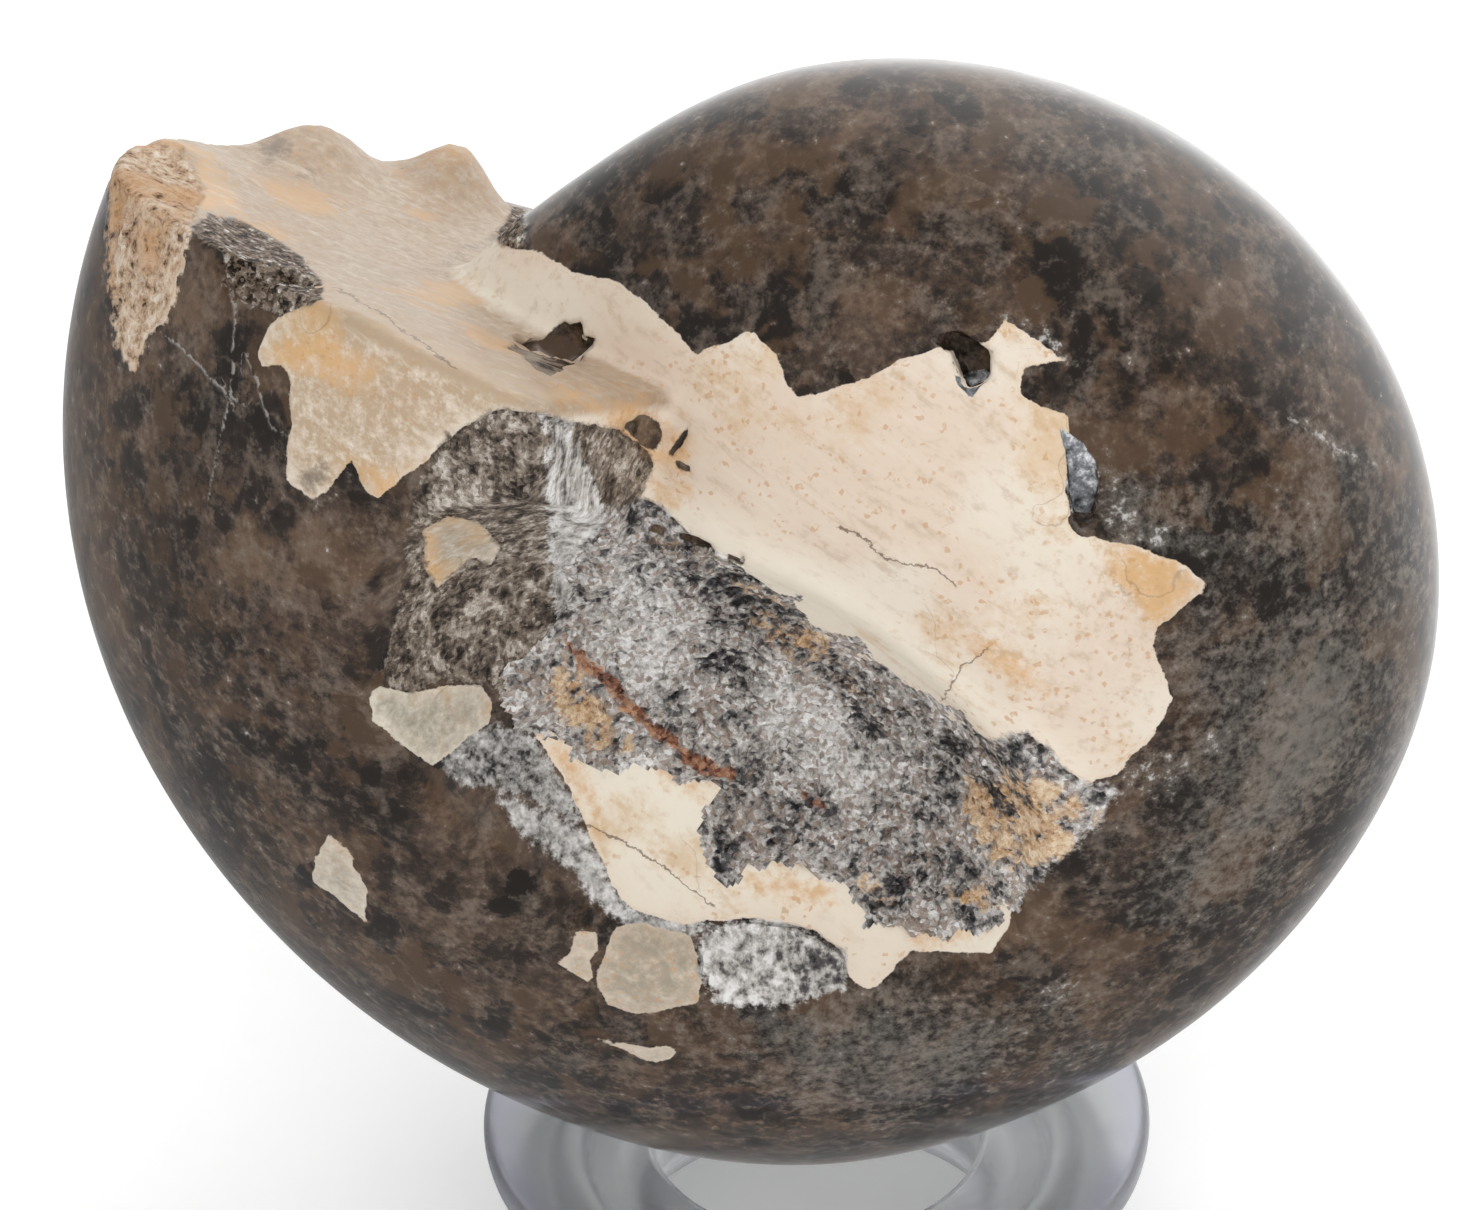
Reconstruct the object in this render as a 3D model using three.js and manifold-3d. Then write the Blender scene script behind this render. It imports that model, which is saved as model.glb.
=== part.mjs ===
// A polished ammonite standing on its rim in a clear ring. Millimetres, +Z up, front towards -Y.
// The stone is worked out in coil coordinates: u to the right and v up in the plane of the coil,
// w out of the front flank. The origin is under the middle of the whole object.
import * as THREE from 'three';
import * as BufferGeometryUtils from 'three/addons/utils/BufferGeometryUtils.js';
import Module from 'manifold-3d';

// The coil: a spiral whose radius falls by one factor a turn, with a slightly oval run.
const COIL_RADIUS = 54.8;
const WHORL_RATE = 1.617;
const START_ANGLE = 150;
const OVAL_STEP = 30;
const OVAL_FROM = -30;
const OVAL = [
  0.03, 0.009, -0.013, -0.028, -0.03, -0.024, -0.051, -0.038,
  0.026, 0.078, 0.083, 0.034, -0.06, -0.048, -0.026, -0.013,
];

// The whorl's section, in parts of the radius: half its width, where it is widest, and how full it is.
const HALF_WIDTH = 0.52;
const WIDEST_AT = 0.408;
const FULLNESS = 1.68;
const RIM_ROUNDING = 0.02;
const FLANK_STEPS = 9;
const TURN_STEP = 8;
const YOUNG_WEDGE = [-8, 3];
const OTHER_WEDGES = [[2, 19], [18, 35], [34, 51]];
// Inside the widest place the flank falls to this height at the coil's axis.
const INNER_FLANK_HEIGHT = 17;
const INNER_STATION = 0.5;

// The broken face across the young end: a point on it, its outward normal, and its soft waves.
const FACE_POINT = new THREE.Vector3(-29.9, 24.9, 3.6);
const FACE_NORMAL = new THREE.Vector3(0.27, 0.917, -0.293).normalize();
const FACE_SIZE = 130;
const FACE_CELLS = 24;
const FACE_HOLLOW = 0.8;
const HOLLOW_REACH = [17, 14];
const FACE_KNOBS = [
  { u: -37.5, v: 25, w: -19, height: 2.6, radius: 6.5 },
  { u: -28.5, v: 22, w: -23.5, height: 3.4, radius: 4.6 },
  { u: -44, v: 28, w: -6, height: 0.7, radius: 7 },
  { u: -24, v: 29, w: 20, height: 0.6, radius: 8 },
];

// The last whorl's inner wall by the face, which drops to the whorl before it.
const WALL_POINT = new THREE.Vector3(-12.3, 27.4, 29.9);
const WALL_NORMAL = new THREE.Vector3(0.912, -0.14, 0.386).normalize();
const WALL_CELLS = 9;
const WALL_FLUTE = 0.35;
const FLUTE_TURNS = [27, 5];

// The umbilical hollow on each flank: an oval bowl between the whorls.
const BOWL_CENTRE = [0, -0.8];
const BOWL_LONG = 22;
const BOWL_SHORT = 15;
const BOWL_TURN = -36;
const BOWL_FLOOR = 12.5;
const BOWL_RISE = 9;
const BOWL_POWER = 2.2;
const BOWL_SPOKES = 36;
const BOWL_RINGS = 14;
const BOWL_REACH = 1.6;
const CUT_HEIGHT = 48;

// The crystal crust in the hollow.
const CRUST_GAP = 0.35;
const CRUST_EDGE = 0.9;
const THIN_FROM = 0.78;
const THIN_SHARE = 0.4;
const CRUST_THICK = 1.1;
const CRYSTAL_HEIGHT = 1.3;
const CRUST_CELLS = 16;

// Chips and pockets in the stone: place, half sizes and turns.
const CHIPS = [
  { at: [-15.7, 23.4, 12.4], size: [3.0, 1.6, 2.0], turn: [20, 10, -20] },
  { at: [-8.7, 23.4, 20], size: [1.5, 1.3, 1.7], turn: [0, 25, 30] },
  { at: [12.1, 26.5, 16.6], size: [2.0, 1.9, 1.5], turn: [30, 0, 20] },
  { at: [20.3, 19.3, 18.8], size: [1.1, 3.4, 1.2], turn: [0, 20, 12] },
  { at: [-34.2, 30.2, 19.2], size: [4.6, 1.6, 1.7], turn: [10, 22, -12] },
];

// How the stone sits: turned a little away to the left, leaning back, above the ring's foot.
const YAW = -10.4;
const LEAN = -4;
const AXIS_HEIGHT = 58;
const AXIS_TO_RING = [-0.4, -2];

// The ring: a wide shallow dish that carries the stone, on a waist and a foot.
const RIM_RADIUS = 24;
const RING_HEIGHT = 14;
const DISH_DEPTH = 2.2;
const THROAT_RADIUS = 12;
const WAIST_RADIUS = 17;
const FOOT_RADIUS = 22.5;
const FOOT_BORE = 14.5;
const LIP = 0.8;
const RING_SIDES = 44;
const CURVE_STEPS = 3;

const GREY = 0x3a332d;
const CRYSTAL = 0x8d8781;
const CLEAR = 0xe9ecef;

const radians = THREE.MathUtils.degToRad;
const wasm = await Module();
wasm.setup();

// Repeatable scatter in 0..1 from whole numbers.
function scatter(i, j, k) {
  const mixed = Math.sin(i * 127.1 + j * 311.7 + k * 74.7) * 43758.5453;
  return mixed - Math.floor(mixed);
}

// The oval run of the coil, smooth through its steps.
function ovalAt(degrees) {
  const place = (degrees - OVAL_FROM) / OVAL_STEP;
  const i = THREE.MathUtils.clamp(Math.floor(place), 0, OVAL.length - 2);
  const f = place - i;
  const value = (k) => OVAL[THREE.MathUtils.clamp(k, 0, OVAL.length - 1)];
  const [a, b, c, d] = [value(i - 1), value(i), value(i + 1), value(i + 2)];
  const cubic = 3 * b - a - 3 * c + d;
  return 0.5 * (2 * b + (c - a) * f + (2 * a - 5 * b + 4 * c - d) * f * f + cubic * f ** 3);
}

// Radius of the coil, by the angle back from its start.
function coilRadius(back) {
  return COIL_RADIUS * WHORL_RATE ** (-back / 360) * (1 + ovalAt(back));
}

// One point of the half section, from the rim (0) to the widest place (1), in parts of the radius.
function sectionPoint(share) {
  const angle = share * Math.PI / 2;
  const power = (2 / FULLNESS - 1) / 2;
  const soften = (x) => x * (x * x + RIM_ROUNDING) ** power;
  const along = WIDEST_AT + (1 - WIDEST_AT) * soften(Math.cos(angle));
  return [along, HALF_WIDTH * soften(Math.sin(angle))];
}

// Half section in millimetres at one angle, from the rim to the coil's axis.
function halfSection(back) {
  const radius = coilRadius(back);
  const points = [];
  for (let i = 0; i <= FLANK_STEPS; i += 1) {
    const [along, out] = sectionPoint(i / FLANK_STEPS);
    points.push([along * radius, out * radius]);
  }
  const [shoulder, width] = points[FLANK_STEPS];
  points.push([
    shoulder * INNER_STATION,
    THREE.MathUtils.lerp(INNER_FLANK_HEIGHT, width, INNER_STATION),
  ]);
  return points;
}

// A manifold from corner and triangle lists.
function solidFrom(corners, triangles) {
  const geometry = new THREE.BufferGeometry();
  geometry.setAttribute('position', new THREE.Float32BufferAttribute(corners, 3));
  geometry.setIndex(triangles);
  const merged = BufferGeometryUtils.mergeVertices(geometry, 1e-4);
  return new wasm.Manifold(new wasm.Mesh({
    numProp: 3,
    vertProperties: new Float32Array(merged.attributes.position.array),
    triVerts: new Uint32Array(merged.index.array),
  }));
}

function geometryFrom(solid) {
  const mesh = solid.getMesh();
  const geometry = new THREE.BufferGeometry();
  geometry.setAttribute('position', new THREE.Float32BufferAttribute(mesh.vertProperties, 3));
  geometry.setIndex(Array.from(mesh.triVerts));
  geometry.computeVertexNormals();
  return geometry;
}

// A wedge of the coil about its axis, between two steps back from the start.
function wedge([from, to]) {
  const corners = [];
  const triangles = [];
  const steps = to - from;
  const half = FLANK_STEPS + 2;
  const loop = 2 * half - 1;
  for (let i = 0; i <= steps; i += 1) {
    const back = (from + i) * TURN_STEP;
    const angle = radians(START_ANGLE + back);
    const front = halfSection(back);
    const ring = [...front.slice().reverse(), ...front.slice(1).map(([r, w]) => [r, -w])];
    ring.forEach(([r, w]) => corners.push(r * Math.cos(angle), r * Math.sin(angle), w));
  }
  const frontPole = corners.length / 3;
  corners.push(0, 0, INNER_FLANK_HEIGHT, 0, 0, -INNER_FLANK_HEIGHT);
  const backPole = frontPole + 1;
  for (let i = 0; i < steps; i += 1) {
    const a = i * loop;
    const b = a + loop;
    triangles.push(frontPole, a, b);
    for (let j = 0; j < loop - 1; j += 1) {
      triangles.push(a + j, a + j + 1, b + j, b + j, a + j + 1, b + j + 1);
    }
    triangles.push(backPole, b + loop - 1, a + loop - 1);
  }
  const last = steps * loop;
  for (let j = 0; j < loop - 1; j += 1) {
    triangles.push(frontPole, j + 1, j);
    triangles.push(frontPole, last + j, last + j + 1);
  }
  triangles.push(frontPole, backPole, loop - 1);
  triangles.push(frontPole, last + loop - 1, backPole);
  return solidFrom(corners, triangles);
}

// A closed block over a grid: heightAt gives its lower face, and lid is its flat upper face.
function blockOver(cells, placeAt, lid) {
  const corners = [];
  const triangles = [];
  const side = cells + 1;
  for (let top = 0; top < 2; top += 1) {
    for (let i = 0; i < side; i += 1) {
      for (let j = 0; j < side; j += 1) {
        const [x, y, low] = placeAt(i / cells, j / cells);
        corners.push(x, y, top ? lid : low);
      }
    }
  }
  const at = (top, i, j) => top * side * side + i * side + j;
  for (let i = 0; i < cells; i += 1) {
    for (let j = 0; j < cells; j += 1) {
      triangles.push(at(0, i, j), at(0, i, j + 1), at(0, i + 1, j));
      triangles.push(at(0, i + 1, j), at(0, i, j + 1), at(0, i + 1, j + 1));
      triangles.push(at(1, i, j), at(1, i + 1, j), at(1, i, j + 1));
      triangles.push(at(1, i + 1, j), at(1, i + 1, j + 1), at(1, i, j + 1));
    }
    const edges = [
      [[i, 0], [i + 1, 0]],
      [[cells, i], [cells, i + 1]],
      [[i + 1, cells], [i, cells]],
      [[0, i + 1], [0, i]],
    ];
    edges.forEach(([p, q]) => {
      triangles.push(at(0, ...p), at(0, ...q), at(1, ...p));
      triangles.push(at(0, ...q), at(1, ...q), at(1, ...p));
    });
  }
  return solidFrom(corners, triangles);
}

// What is missing beyond the broken face: a block whose lower side is the waved face.
function faceCut() {
  const inward = new THREE.Vector3(1, 0, 0).projectOnPlane(FACE_NORMAL).normalize();
  const across = new THREE.Vector3().crossVectors(FACE_NORMAL, inward);
  const frame = new THREE.Matrix4().makeBasis(inward, across, FACE_NORMAL).setPosition(FACE_POINT);
  const knobs = FACE_KNOBS.map((knob) => {
    const place = new THREE.Vector3(knob.u, knob.v, knob.w).applyMatrix4(frame.clone().invert());
    return { ...knob, x: place.x, y: place.y };
  });
  const placeAt = (s, t) => {
    const x = (s - 0.5) * FACE_SIZE;
    const y = (t - 0.5) * FACE_SIZE;
    const middle = Math.exp(-((x / HOLLOW_REACH[0]) ** 2) - (y / HOLLOW_REACH[1]) ** 2);
    const lift = knobs.reduce((sum, knob) => {
      const away = ((x - knob.x) ** 2 + (y - knob.y) ** 2) / knob.radius ** 2;
      return sum + knob.height * Math.exp(-2 * away);
    }, 0);
    return [x, y, lift - FACE_HOLLOW * middle];
  };
  return blockOver(FACE_CELLS, placeAt, FACE_SIZE).transform(frame.elements);
}

// Height of the bowl's surface at a share of its oval, out of the plane of the coil.
function bowlHeight(share) {
  return BOWL_FLOOR + BOWL_RISE * share ** BOWL_POWER;
}

// Place in the plane of the coil at a share of the bowl's oval, along one spoke.
function bowlPlace(share, spoke) {
  const angle = spoke * 2 * Math.PI / BOWL_SPOKES;
  const x = BOWL_LONG * share * Math.cos(angle);
  const y = BOWL_SHORT * share * Math.sin(angle);
  const turn = radians(BOWL_TURN);
  return [
    BOWL_CENTRE[0] + x * Math.cos(turn) - y * Math.sin(turn),
    BOWL_CENTRE[1] + x * Math.sin(turn) + y * Math.cos(turn),
  ];
}

// A closed round slab over the bowl, between two height functions of the share of its oval.
function slabOver(reach, rings, lowAt, highAt) {
  const corners = [];
  const triangles = [];
  const layer = rings * BOWL_SPOKES + 1;
  [lowAt, highAt].forEach((heightAt) => {
    corners.push(...bowlPlace(0, 0), heightAt(0));
    for (let ring = 1; ring <= rings; ring += 1) {
      const share = reach * ring / rings;
      for (let spoke = 0; spoke < BOWL_SPOKES; spoke += 1) {
        corners.push(...bowlPlace(share, spoke), heightAt(share));
      }
    }
  });
  const at = (top, ring, spoke) => top * layer
    + (ring ? 1 + (ring - 1) * BOWL_SPOKES + (spoke % BOWL_SPOKES) : 0);
  for (let spoke = 0; spoke < BOWL_SPOKES; spoke += 1) {
    const next = spoke + 1;
    triangles.push(at(1, 0, 0), at(1, 1, spoke), at(1, 1, next));
    triangles.push(at(0, 0, 0), at(0, 1, next), at(0, 1, spoke));
    for (let ring = 1; ring < rings; ring += 1) {
      triangles.push(at(1, ring, spoke), at(1, ring + 1, spoke), at(1, ring, next));
      triangles.push(at(1, ring, next), at(1, ring + 1, spoke), at(1, ring + 1, next));
      triangles.push(at(0, ring, spoke), at(0, ring, next), at(0, ring + 1, spoke));
      triangles.push(at(0, ring, next), at(0, ring + 1, next), at(0, ring + 1, spoke));
    }
    triangles.push(at(0, rings, spoke), at(0, rings, next), at(1, rings, spoke));
    triangles.push(at(0, rings, next), at(1, rings, next), at(1, rings, spoke));
  }
  return solidFrom(corners, triangles);
}

// The back flank is the front one seen through the plane of the coil.
function onSide(solid, side) {
  return side > 0 ? solid : solid.mirror([0, 0, 1]);
}

function bowlCut(side) {
  return onSide(slabOver(BOWL_REACH, BOWL_RINGS, bowlHeight, () => CUT_HEIGHT), side);
}

// The crust's crystals: every corner of its upper side stands at its own height.
function crystalCrust(side) {
  const turn = radians(BOWL_TURN);
  const sheet = (lift) => blockOver(CRUST_CELLS, (s, t) => {
    const x = (2 * s - 1) * BOWL_LONG;
    const y = (2 * t - 1) * BOWL_SHORT;
    const share = Math.min(Math.hypot(2 * s - 1, 2 * t - 1), 1.1);
    const low = bowlHeight(share) + CRUST_GAP;
    return [
      BOWL_CENTRE[0] + x * Math.cos(turn) - y * Math.sin(turn),
      BOWL_CENTRE[1] + x * Math.sin(turn) + y * Math.cos(turn),
      low + lift(s, t, share),
    ];
  }, CUT_HEIGHT);
  const crystals = (s, t, share) => {
    const [i, j] = [Math.round(s * CRUST_CELLS), Math.round(t * CRUST_CELLS)];
    const thin = share > THIN_FROM ? THIN_SHARE : 1;
    const bed = CRUST_THICK * (0.5 + 0.5 * scatter(i, j, 3));
    return thin * (bed + CRYSTAL_HEIGHT * scatter(j, i, side) ** 2);
  };
  const oval = slabOver(CRUST_EDGE, 1, () => 0, () => CUT_HEIGHT - 1);
  const crust = sheet(() => 0).subtract(sheet(crystals)).intersect(oval);
  return onSide(crust, side);
}

// A rough lump with flat faces, taken out where the stone is chipped.
function chip({ at, size, turn }, index) {
  const geometry = new THREE.IcosahedronGeometry(1, 1);
  geometry.deleteAttribute('normal');
  geometry.deleteAttribute('uv');
  const merged = BufferGeometryUtils.mergeVertices(geometry, 1e-4);
  const place = merged.attributes.position;
  for (let i = 0; i < place.count; i += 1) {
    const swell = 0.8 + 0.4 * scatter(i, index, 5);
    place.setXYZ(i, place.getX(i) * swell, place.getY(i) * swell, place.getZ(i) * swell);
  }
  merged.scale(...size);
  const euler = new THREE.Euler(...turn.map(radians));
  merged.applyMatrix4(new THREE.Matrix4().makeRotationFromEuler(euler));
  merged.translate(...at);
  return solidFrom(Array.from(place.array), Array.from(merged.index.array));
}

// What is missing inside the last whorl's inner wall: a block with a fluted lower side.
function wallCut() {
  const along = new THREE.Vector3(0, 1, 0).projectOnPlane(WALL_NORMAL).normalize();
  const across = new THREE.Vector3().crossVectors(WALL_NORMAL, along);
  const frame = new THREE.Matrix4().makeBasis(along, across, WALL_NORMAL).setPosition(WALL_POINT);
  const placeAt = (s, t) => {
    const flute = WALL_FLUTE * Math.sin(s * FLUTE_TURNS[0]) * Math.sin(t * FLUTE_TURNS[1]);
    return [(s - 0.5) * FACE_SIZE, (t - 0.5) * FACE_SIZE, flute];
  };
  return blockOver(WALL_CELLS, placeAt, FACE_SIZE).transform(frame.elements);
}

function ammoniteSolid() {
  const young = wedge(YOUNG_WEDGE).subtract(faceCut()).subtract(wallCut());
  let stone = OTHER_WEDGES.reduce((sum, steps) => sum.add(wedge(steps)), young);
  stone = stone.subtract(bowlCut(1)).subtract(bowlCut(-1));
  CHIPS.forEach((item, index) => {
    stone = stone.subtract(chip(item, index));
  });
  return stone;
}

function finish(name, colour, roughness) {
  return new THREE.MeshStandardMaterial({ name, color: colour, roughness, metalness: 0 });
}

// Coil coordinates to the stone's own: v is up, and w is towards the front.
function standUp(geometry) {
  return geometry.applyMatrix4(new THREE.Matrix4().makeRotationX(Math.PI / 2));
}

// The ring's section, turned about its upright axis.
function ringGeometry() {
  const outline = new THREE.Path();
  const middle = RING_HEIGHT / 2;
  outline.moveTo(FOOT_BORE, 0);
  outline.lineTo(FOOT_RADIUS, 0);
  outline.lineTo(FOOT_RADIUS + LIP / 2, LIP);
  outline.quadraticCurveTo(WAIST_RADIUS, LIP * 3, WAIST_RADIUS, middle);
  outline.quadraticCurveTo(WAIST_RADIUS, RING_HEIGHT - LIP * 3, RIM_RADIUS, RING_HEIGHT - LIP * 2);
  outline.quadraticCurveTo(RIM_RADIUS + LIP / 2, RING_HEIGHT, RIM_RADIUS - LIP, RING_HEIGHT);
  outline.quadraticCurveTo(
    THROAT_RADIUS + LIP * 5,
    RING_HEIGHT - LIP,
    THROAT_RADIUS,
    RING_HEIGHT - DISH_DEPTH,
  );
  outline.quadraticCurveTo(THROAT_RADIUS - LIP, middle, FOOT_BORE, 0);
  return new THREE.LatheGeometry(outline.getPoints(CURVE_STEPS), RING_SIDES).rotateX(Math.PI / 2);
}

const ring = new THREE.Mesh(ringGeometry(), finish('clear_plastic', CLEAR, 0.15));
ring.name = 'ring_stand';

const stone = new THREE.Group();
const ammonite = new THREE.Mesh(
  standUp(geometryFrom(ammoniteSolid())),
  finish('polished_stone', GREY, 0.2),
);
ammonite.name = 'ammonite';
stone.add(ammonite);
[['umbilical_crust_front', 1], ['umbilical_crust_back', -1]].forEach(([name, side]) => {
  const crust = new THREE.Mesh(
    standUp(geometryFrom(crystalCrust(side))),
    finish('crystal_crust', CRYSTAL, 0.8),
  );
  crust.name = name;
  stone.add(crust);
});
stone.rotation.set(radians(LEAN), 0, radians(YAW), 'ZYX');
stone.position.set(-AXIS_TO_RING[0], -AXIS_TO_RING[1], AXIS_HEIGHT);

const object = new THREE.Group();
object.add(ring, stone);
object.updateMatrixWorld(true);
const middle = new THREE.Box3().setFromObject(object, true).getCenter(new THREE.Vector3());
object.position.set(-middle.x, -middle.y, 0);

export default object;
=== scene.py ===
import math

import bmesh
import bpy
import numpy as np
from mathutils import Matrix, Vector


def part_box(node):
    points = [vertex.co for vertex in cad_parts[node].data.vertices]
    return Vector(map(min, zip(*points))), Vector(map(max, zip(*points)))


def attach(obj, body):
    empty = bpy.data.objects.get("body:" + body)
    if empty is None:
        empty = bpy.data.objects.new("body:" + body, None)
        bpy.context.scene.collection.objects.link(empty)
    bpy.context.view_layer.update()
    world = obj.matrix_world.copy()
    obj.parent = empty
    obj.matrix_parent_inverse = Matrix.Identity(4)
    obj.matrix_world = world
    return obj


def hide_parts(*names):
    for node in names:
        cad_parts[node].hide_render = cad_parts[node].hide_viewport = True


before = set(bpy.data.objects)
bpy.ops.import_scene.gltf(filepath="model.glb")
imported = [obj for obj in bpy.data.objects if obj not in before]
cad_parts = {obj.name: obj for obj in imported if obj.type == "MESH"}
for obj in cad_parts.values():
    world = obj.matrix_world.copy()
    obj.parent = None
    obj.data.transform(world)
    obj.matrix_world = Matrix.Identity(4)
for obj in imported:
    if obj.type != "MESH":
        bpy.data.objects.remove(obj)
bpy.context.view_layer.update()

# The camera. It looks down on the stone from 33.5 degrees, a little tilted, from about 41 cm.
# The picture's pixels are those of a frame 1473 wide and 1210 high.
MM = 0.001
PICTURE = (1473, 1210)
PIXEL = 0.0686
DISTANCE = 6000 * PIXEL
COIL_PIXEL = (814.9, 581.9)
ELEVATION = math.radians(33.5)
ROLL = math.radians(1.2)
SENSOR = 36

ring_low, ring_high = (np.array(corner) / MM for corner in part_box("ring_stand"))
RING_AXIS = (ring_low + ring_high) / 2
COIL_CENTRE = np.array([RING_AXIS[0] + 0.4, RING_AXIS[1] + 2, 58])

across = np.array([math.cos(ROLL), math.sin(ROLL), 0])
upright = np.array([-math.sin(ROLL), math.cos(ROLL), 0])
toward = np.array([0, 0, 1])
camera_axes = np.stack([
    across,
    math.sin(ELEVATION) * upright - math.cos(ELEVATION) * toward,
    math.cos(ELEVATION) * upright + math.sin(ELEVATION) * toward,
])
coil_offset = np.array([
    (COIL_PIXEL[0] - PICTURE[0] / 2) * PIXEL,
    -(COIL_PIXEL[1] - PICTURE[1] / 2) * PIXEL,
    0,
])
camera_place = COIL_CENTRE + camera_axes @ (np.array([0, 0, DISTANCE]) - coil_offset)


def put(name, data):
    """A new object in the scene."""
    made = bpy.data.objects.new(name, data)
    bpy.context.scene.collection.objects.link(made)
    return made


camera_data = bpy.data.cameras.new("camera")
camera_data.sensor_width = SENSOR
camera_data.lens = SENSOR * DISTANCE / PIXEL / PICTURE[0]
camera_data.clip_start = 0.01
camera_data.clip_end = 20
camera = put("camera", camera_data)
pose = Matrix(camera_axes.tolist()).to_4x4()
pose.translation = Vector(camera_place * MM)
camera.matrix_world = pose
bpy.context.scene.camera = camera


def picture_place(points):
    """Pixels of the picture for world points in millimetres."""
    seen = (points - COIL_CENTRE) @ camera_axes + coil_offset
    scale = DISTANCE / (DISTANCE - seen[:, 2]) / PIXEL
    x = PICTURE[0] / 2 + seen[:, 0] * scale
    y = PICTURE[1] / 2 - seen[:, 1] * scale
    return np.stack([x, y], 1)


# The stone: one polished ammonite, a thick coiled shell turned to dark smoky calcite, with chalky
# cream matrix where it was broken and in the hollow of each flank. It is ground and polished all
# over, except the broken face, the hollows and the chips, and it stands loose in its ring.
COIL_RADIUS = 54.8
WHORL_RATE = 1.617
START_ANGLE = 150
OVAL_STEP = 30
OVAL_FROM = -30
OVAL = np.array([
    0.03, 0.009, -0.013, -0.028, -0.03, -0.024, -0.051, -0.038,
    0.026, 0.078, 0.083, 0.034, -0.06, -0.048, -0.026, -0.013,
])
HALF_WIDTH = 0.52
WIDEST_AT = 0.408
FULLNESS = 1.68
RIM_ROUNDING = 0.02
INNER_FLANK_HEIGHT = 17
YOUNG_FROM, YOUNG_TO = -64, 24
OLD_FROM, OLD_TO = 16, 408

FACE_POINT = np.array([-29.9, 24.9, 3.6])
FACE_NORMAL = np.array([0.27, 0.917, -0.293])
FACE_NORMAL /= np.linalg.norm(FACE_NORMAL)
FACE_HOLLOW = 0.8
HOLLOW_REACH = (17, 14)
FACE_KNOBS = [
    (-37.5, 25, -19, 2.6, 6.5),
    (-28.5, 22, -23.5, 3.4, 4.6),
    (-44, 28, -6, 0.7, 7),
    (-24, 29, 20, 0.6, 8),
]
WALL_POINT = np.array([-12.3, 27.4, 29.9])
WALL_NORMAL = np.array([0.912, -0.14, 0.386])
WALL_NORMAL /= np.linalg.norm(WALL_NORMAL)

BOWL_CENTRE = (-0.7, -1.8)
BOWL_LONG = 22
BOWL_SHORT = 13.8
BOWL_TURN = math.radians(-36)
BOWL_FLOOR = 12.5
BOWL_RISE = 9
BOWL_POWER = 2.2

CHIPS = [
    ((-15.7, 23.4, 12.4), (3.4, 2.0, 2.3), (20, 10, -20)),
    ((-8.7, 23.4, 20), (1.9, 1.7, 2.0), (0, 25, 30)),
    ((12.1, 26.5, 16.6), (2.6, 2.5, 1.7), (30, 0, 20)),
    ((20.3, 19.3, 18.8), (1.5, 3.6, 1.2), (0, 20, 12)),
    ((-34.2, 30.2, 19.2), (5.2, 2.6, 2.0), (10, 22, -12)),
]

FACE_SOFT, YOUNG_SOFT, WHORL_SOFT, BOWL_SOFT, CHIP_SOFT = 0.6, 0.7, 1.2, 1.0, 0.3
CHIP_LUMPS, CHIP_LUMP_SIZE = 0.3, 1.9
FAR_OUT = 9.0

YAW = math.radians(-10.4)
LEAN = math.radians(-4)
coil_to_world = np.array(Matrix.Rotation(YAW, 3, "Z") @ Matrix.Rotation(LEAN, 3, "X"))
coil_to_world = coil_to_world @ np.array([[1, 0, 0], [0, 0, -1], [0, 1, 0]])


def to_world(points):
    return points @ coil_to_world.T + COIL_CENTRE


def mix(low, high, share):
    return low + (high - low) * share


def ease(low, high, value):
    share = np.clip((value - low) / (high - low), 0, 1)
    return share * share * (3 - 2 * share)


def smooth_least(a, b, width):
    share = np.clip(0.5 + 0.5 * (b - a) / width, 0, 1)
    return mix(b, a, share) - width * share * (1 - share)


def smooth_most(a, b, width):
    return -smooth_least(-a, -b, width)


def hashed(cells, seed):
    """Repeatable scatter in 0..1 for rows of whole numbers."""
    c = cells.astype(np.int64)
    mixed = c[..., 0] * 73856093 ^ c[..., 1] * 19349663 ^ c[..., 2] * 83492791 ^ seed * 2654435761
    mixed = (mixed ^ (mixed >> 13)) * 1274126177
    mixed = mixed ^ (mixed >> 16)
    return (mixed & 0xFFFFFF) / 0xFFFFFF


def cloud(points, size, seed):
    """Soft lumps in -1..1, of about one size."""
    place = points / size
    corner = np.floor(place)
    share = place - corner
    share = share * share * (3 - 2 * share)
    total = 0
    for k in range(8):
        step = np.array([k & 1, k >> 1 & 1, k >> 2])
        weight = np.prod(np.where(step, share, 1 - share), axis=-1)
        total = total + weight * hashed(corner + step, seed)
    return 2 * total - 1


def clouds(points, size, seed, layers=3):
    return sum(cloud(points, size / 2 ** k, seed + k) / 2 ** k for k in range(layers))


def grains(points, size, seed):
    """Crystal grains: distance to the nearest middle and the next one's, and a lot per grain."""
    place = points / size
    corner = np.floor(place)
    first = np.full(len(points), FAR_OUT)
    second = first.copy()
    lot = np.zeros(len(points))
    for k in range(27):
        cell = corner + np.array([k % 3 - 1, k // 3 % 3 - 1, k // 9 - 1])
        middle = cell + np.stack([hashed(cell, seed + j) for j in range(3)], -1)
        away = np.linalg.norm(place - middle, axis=-1)
        nearer = away < first
        second = np.where(nearer, first, np.minimum(second, away))
        lot = np.where(nearer, hashed(cell, seed + 7), lot)
        first = np.where(nearer, away, first)
    return first, second, lot


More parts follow.
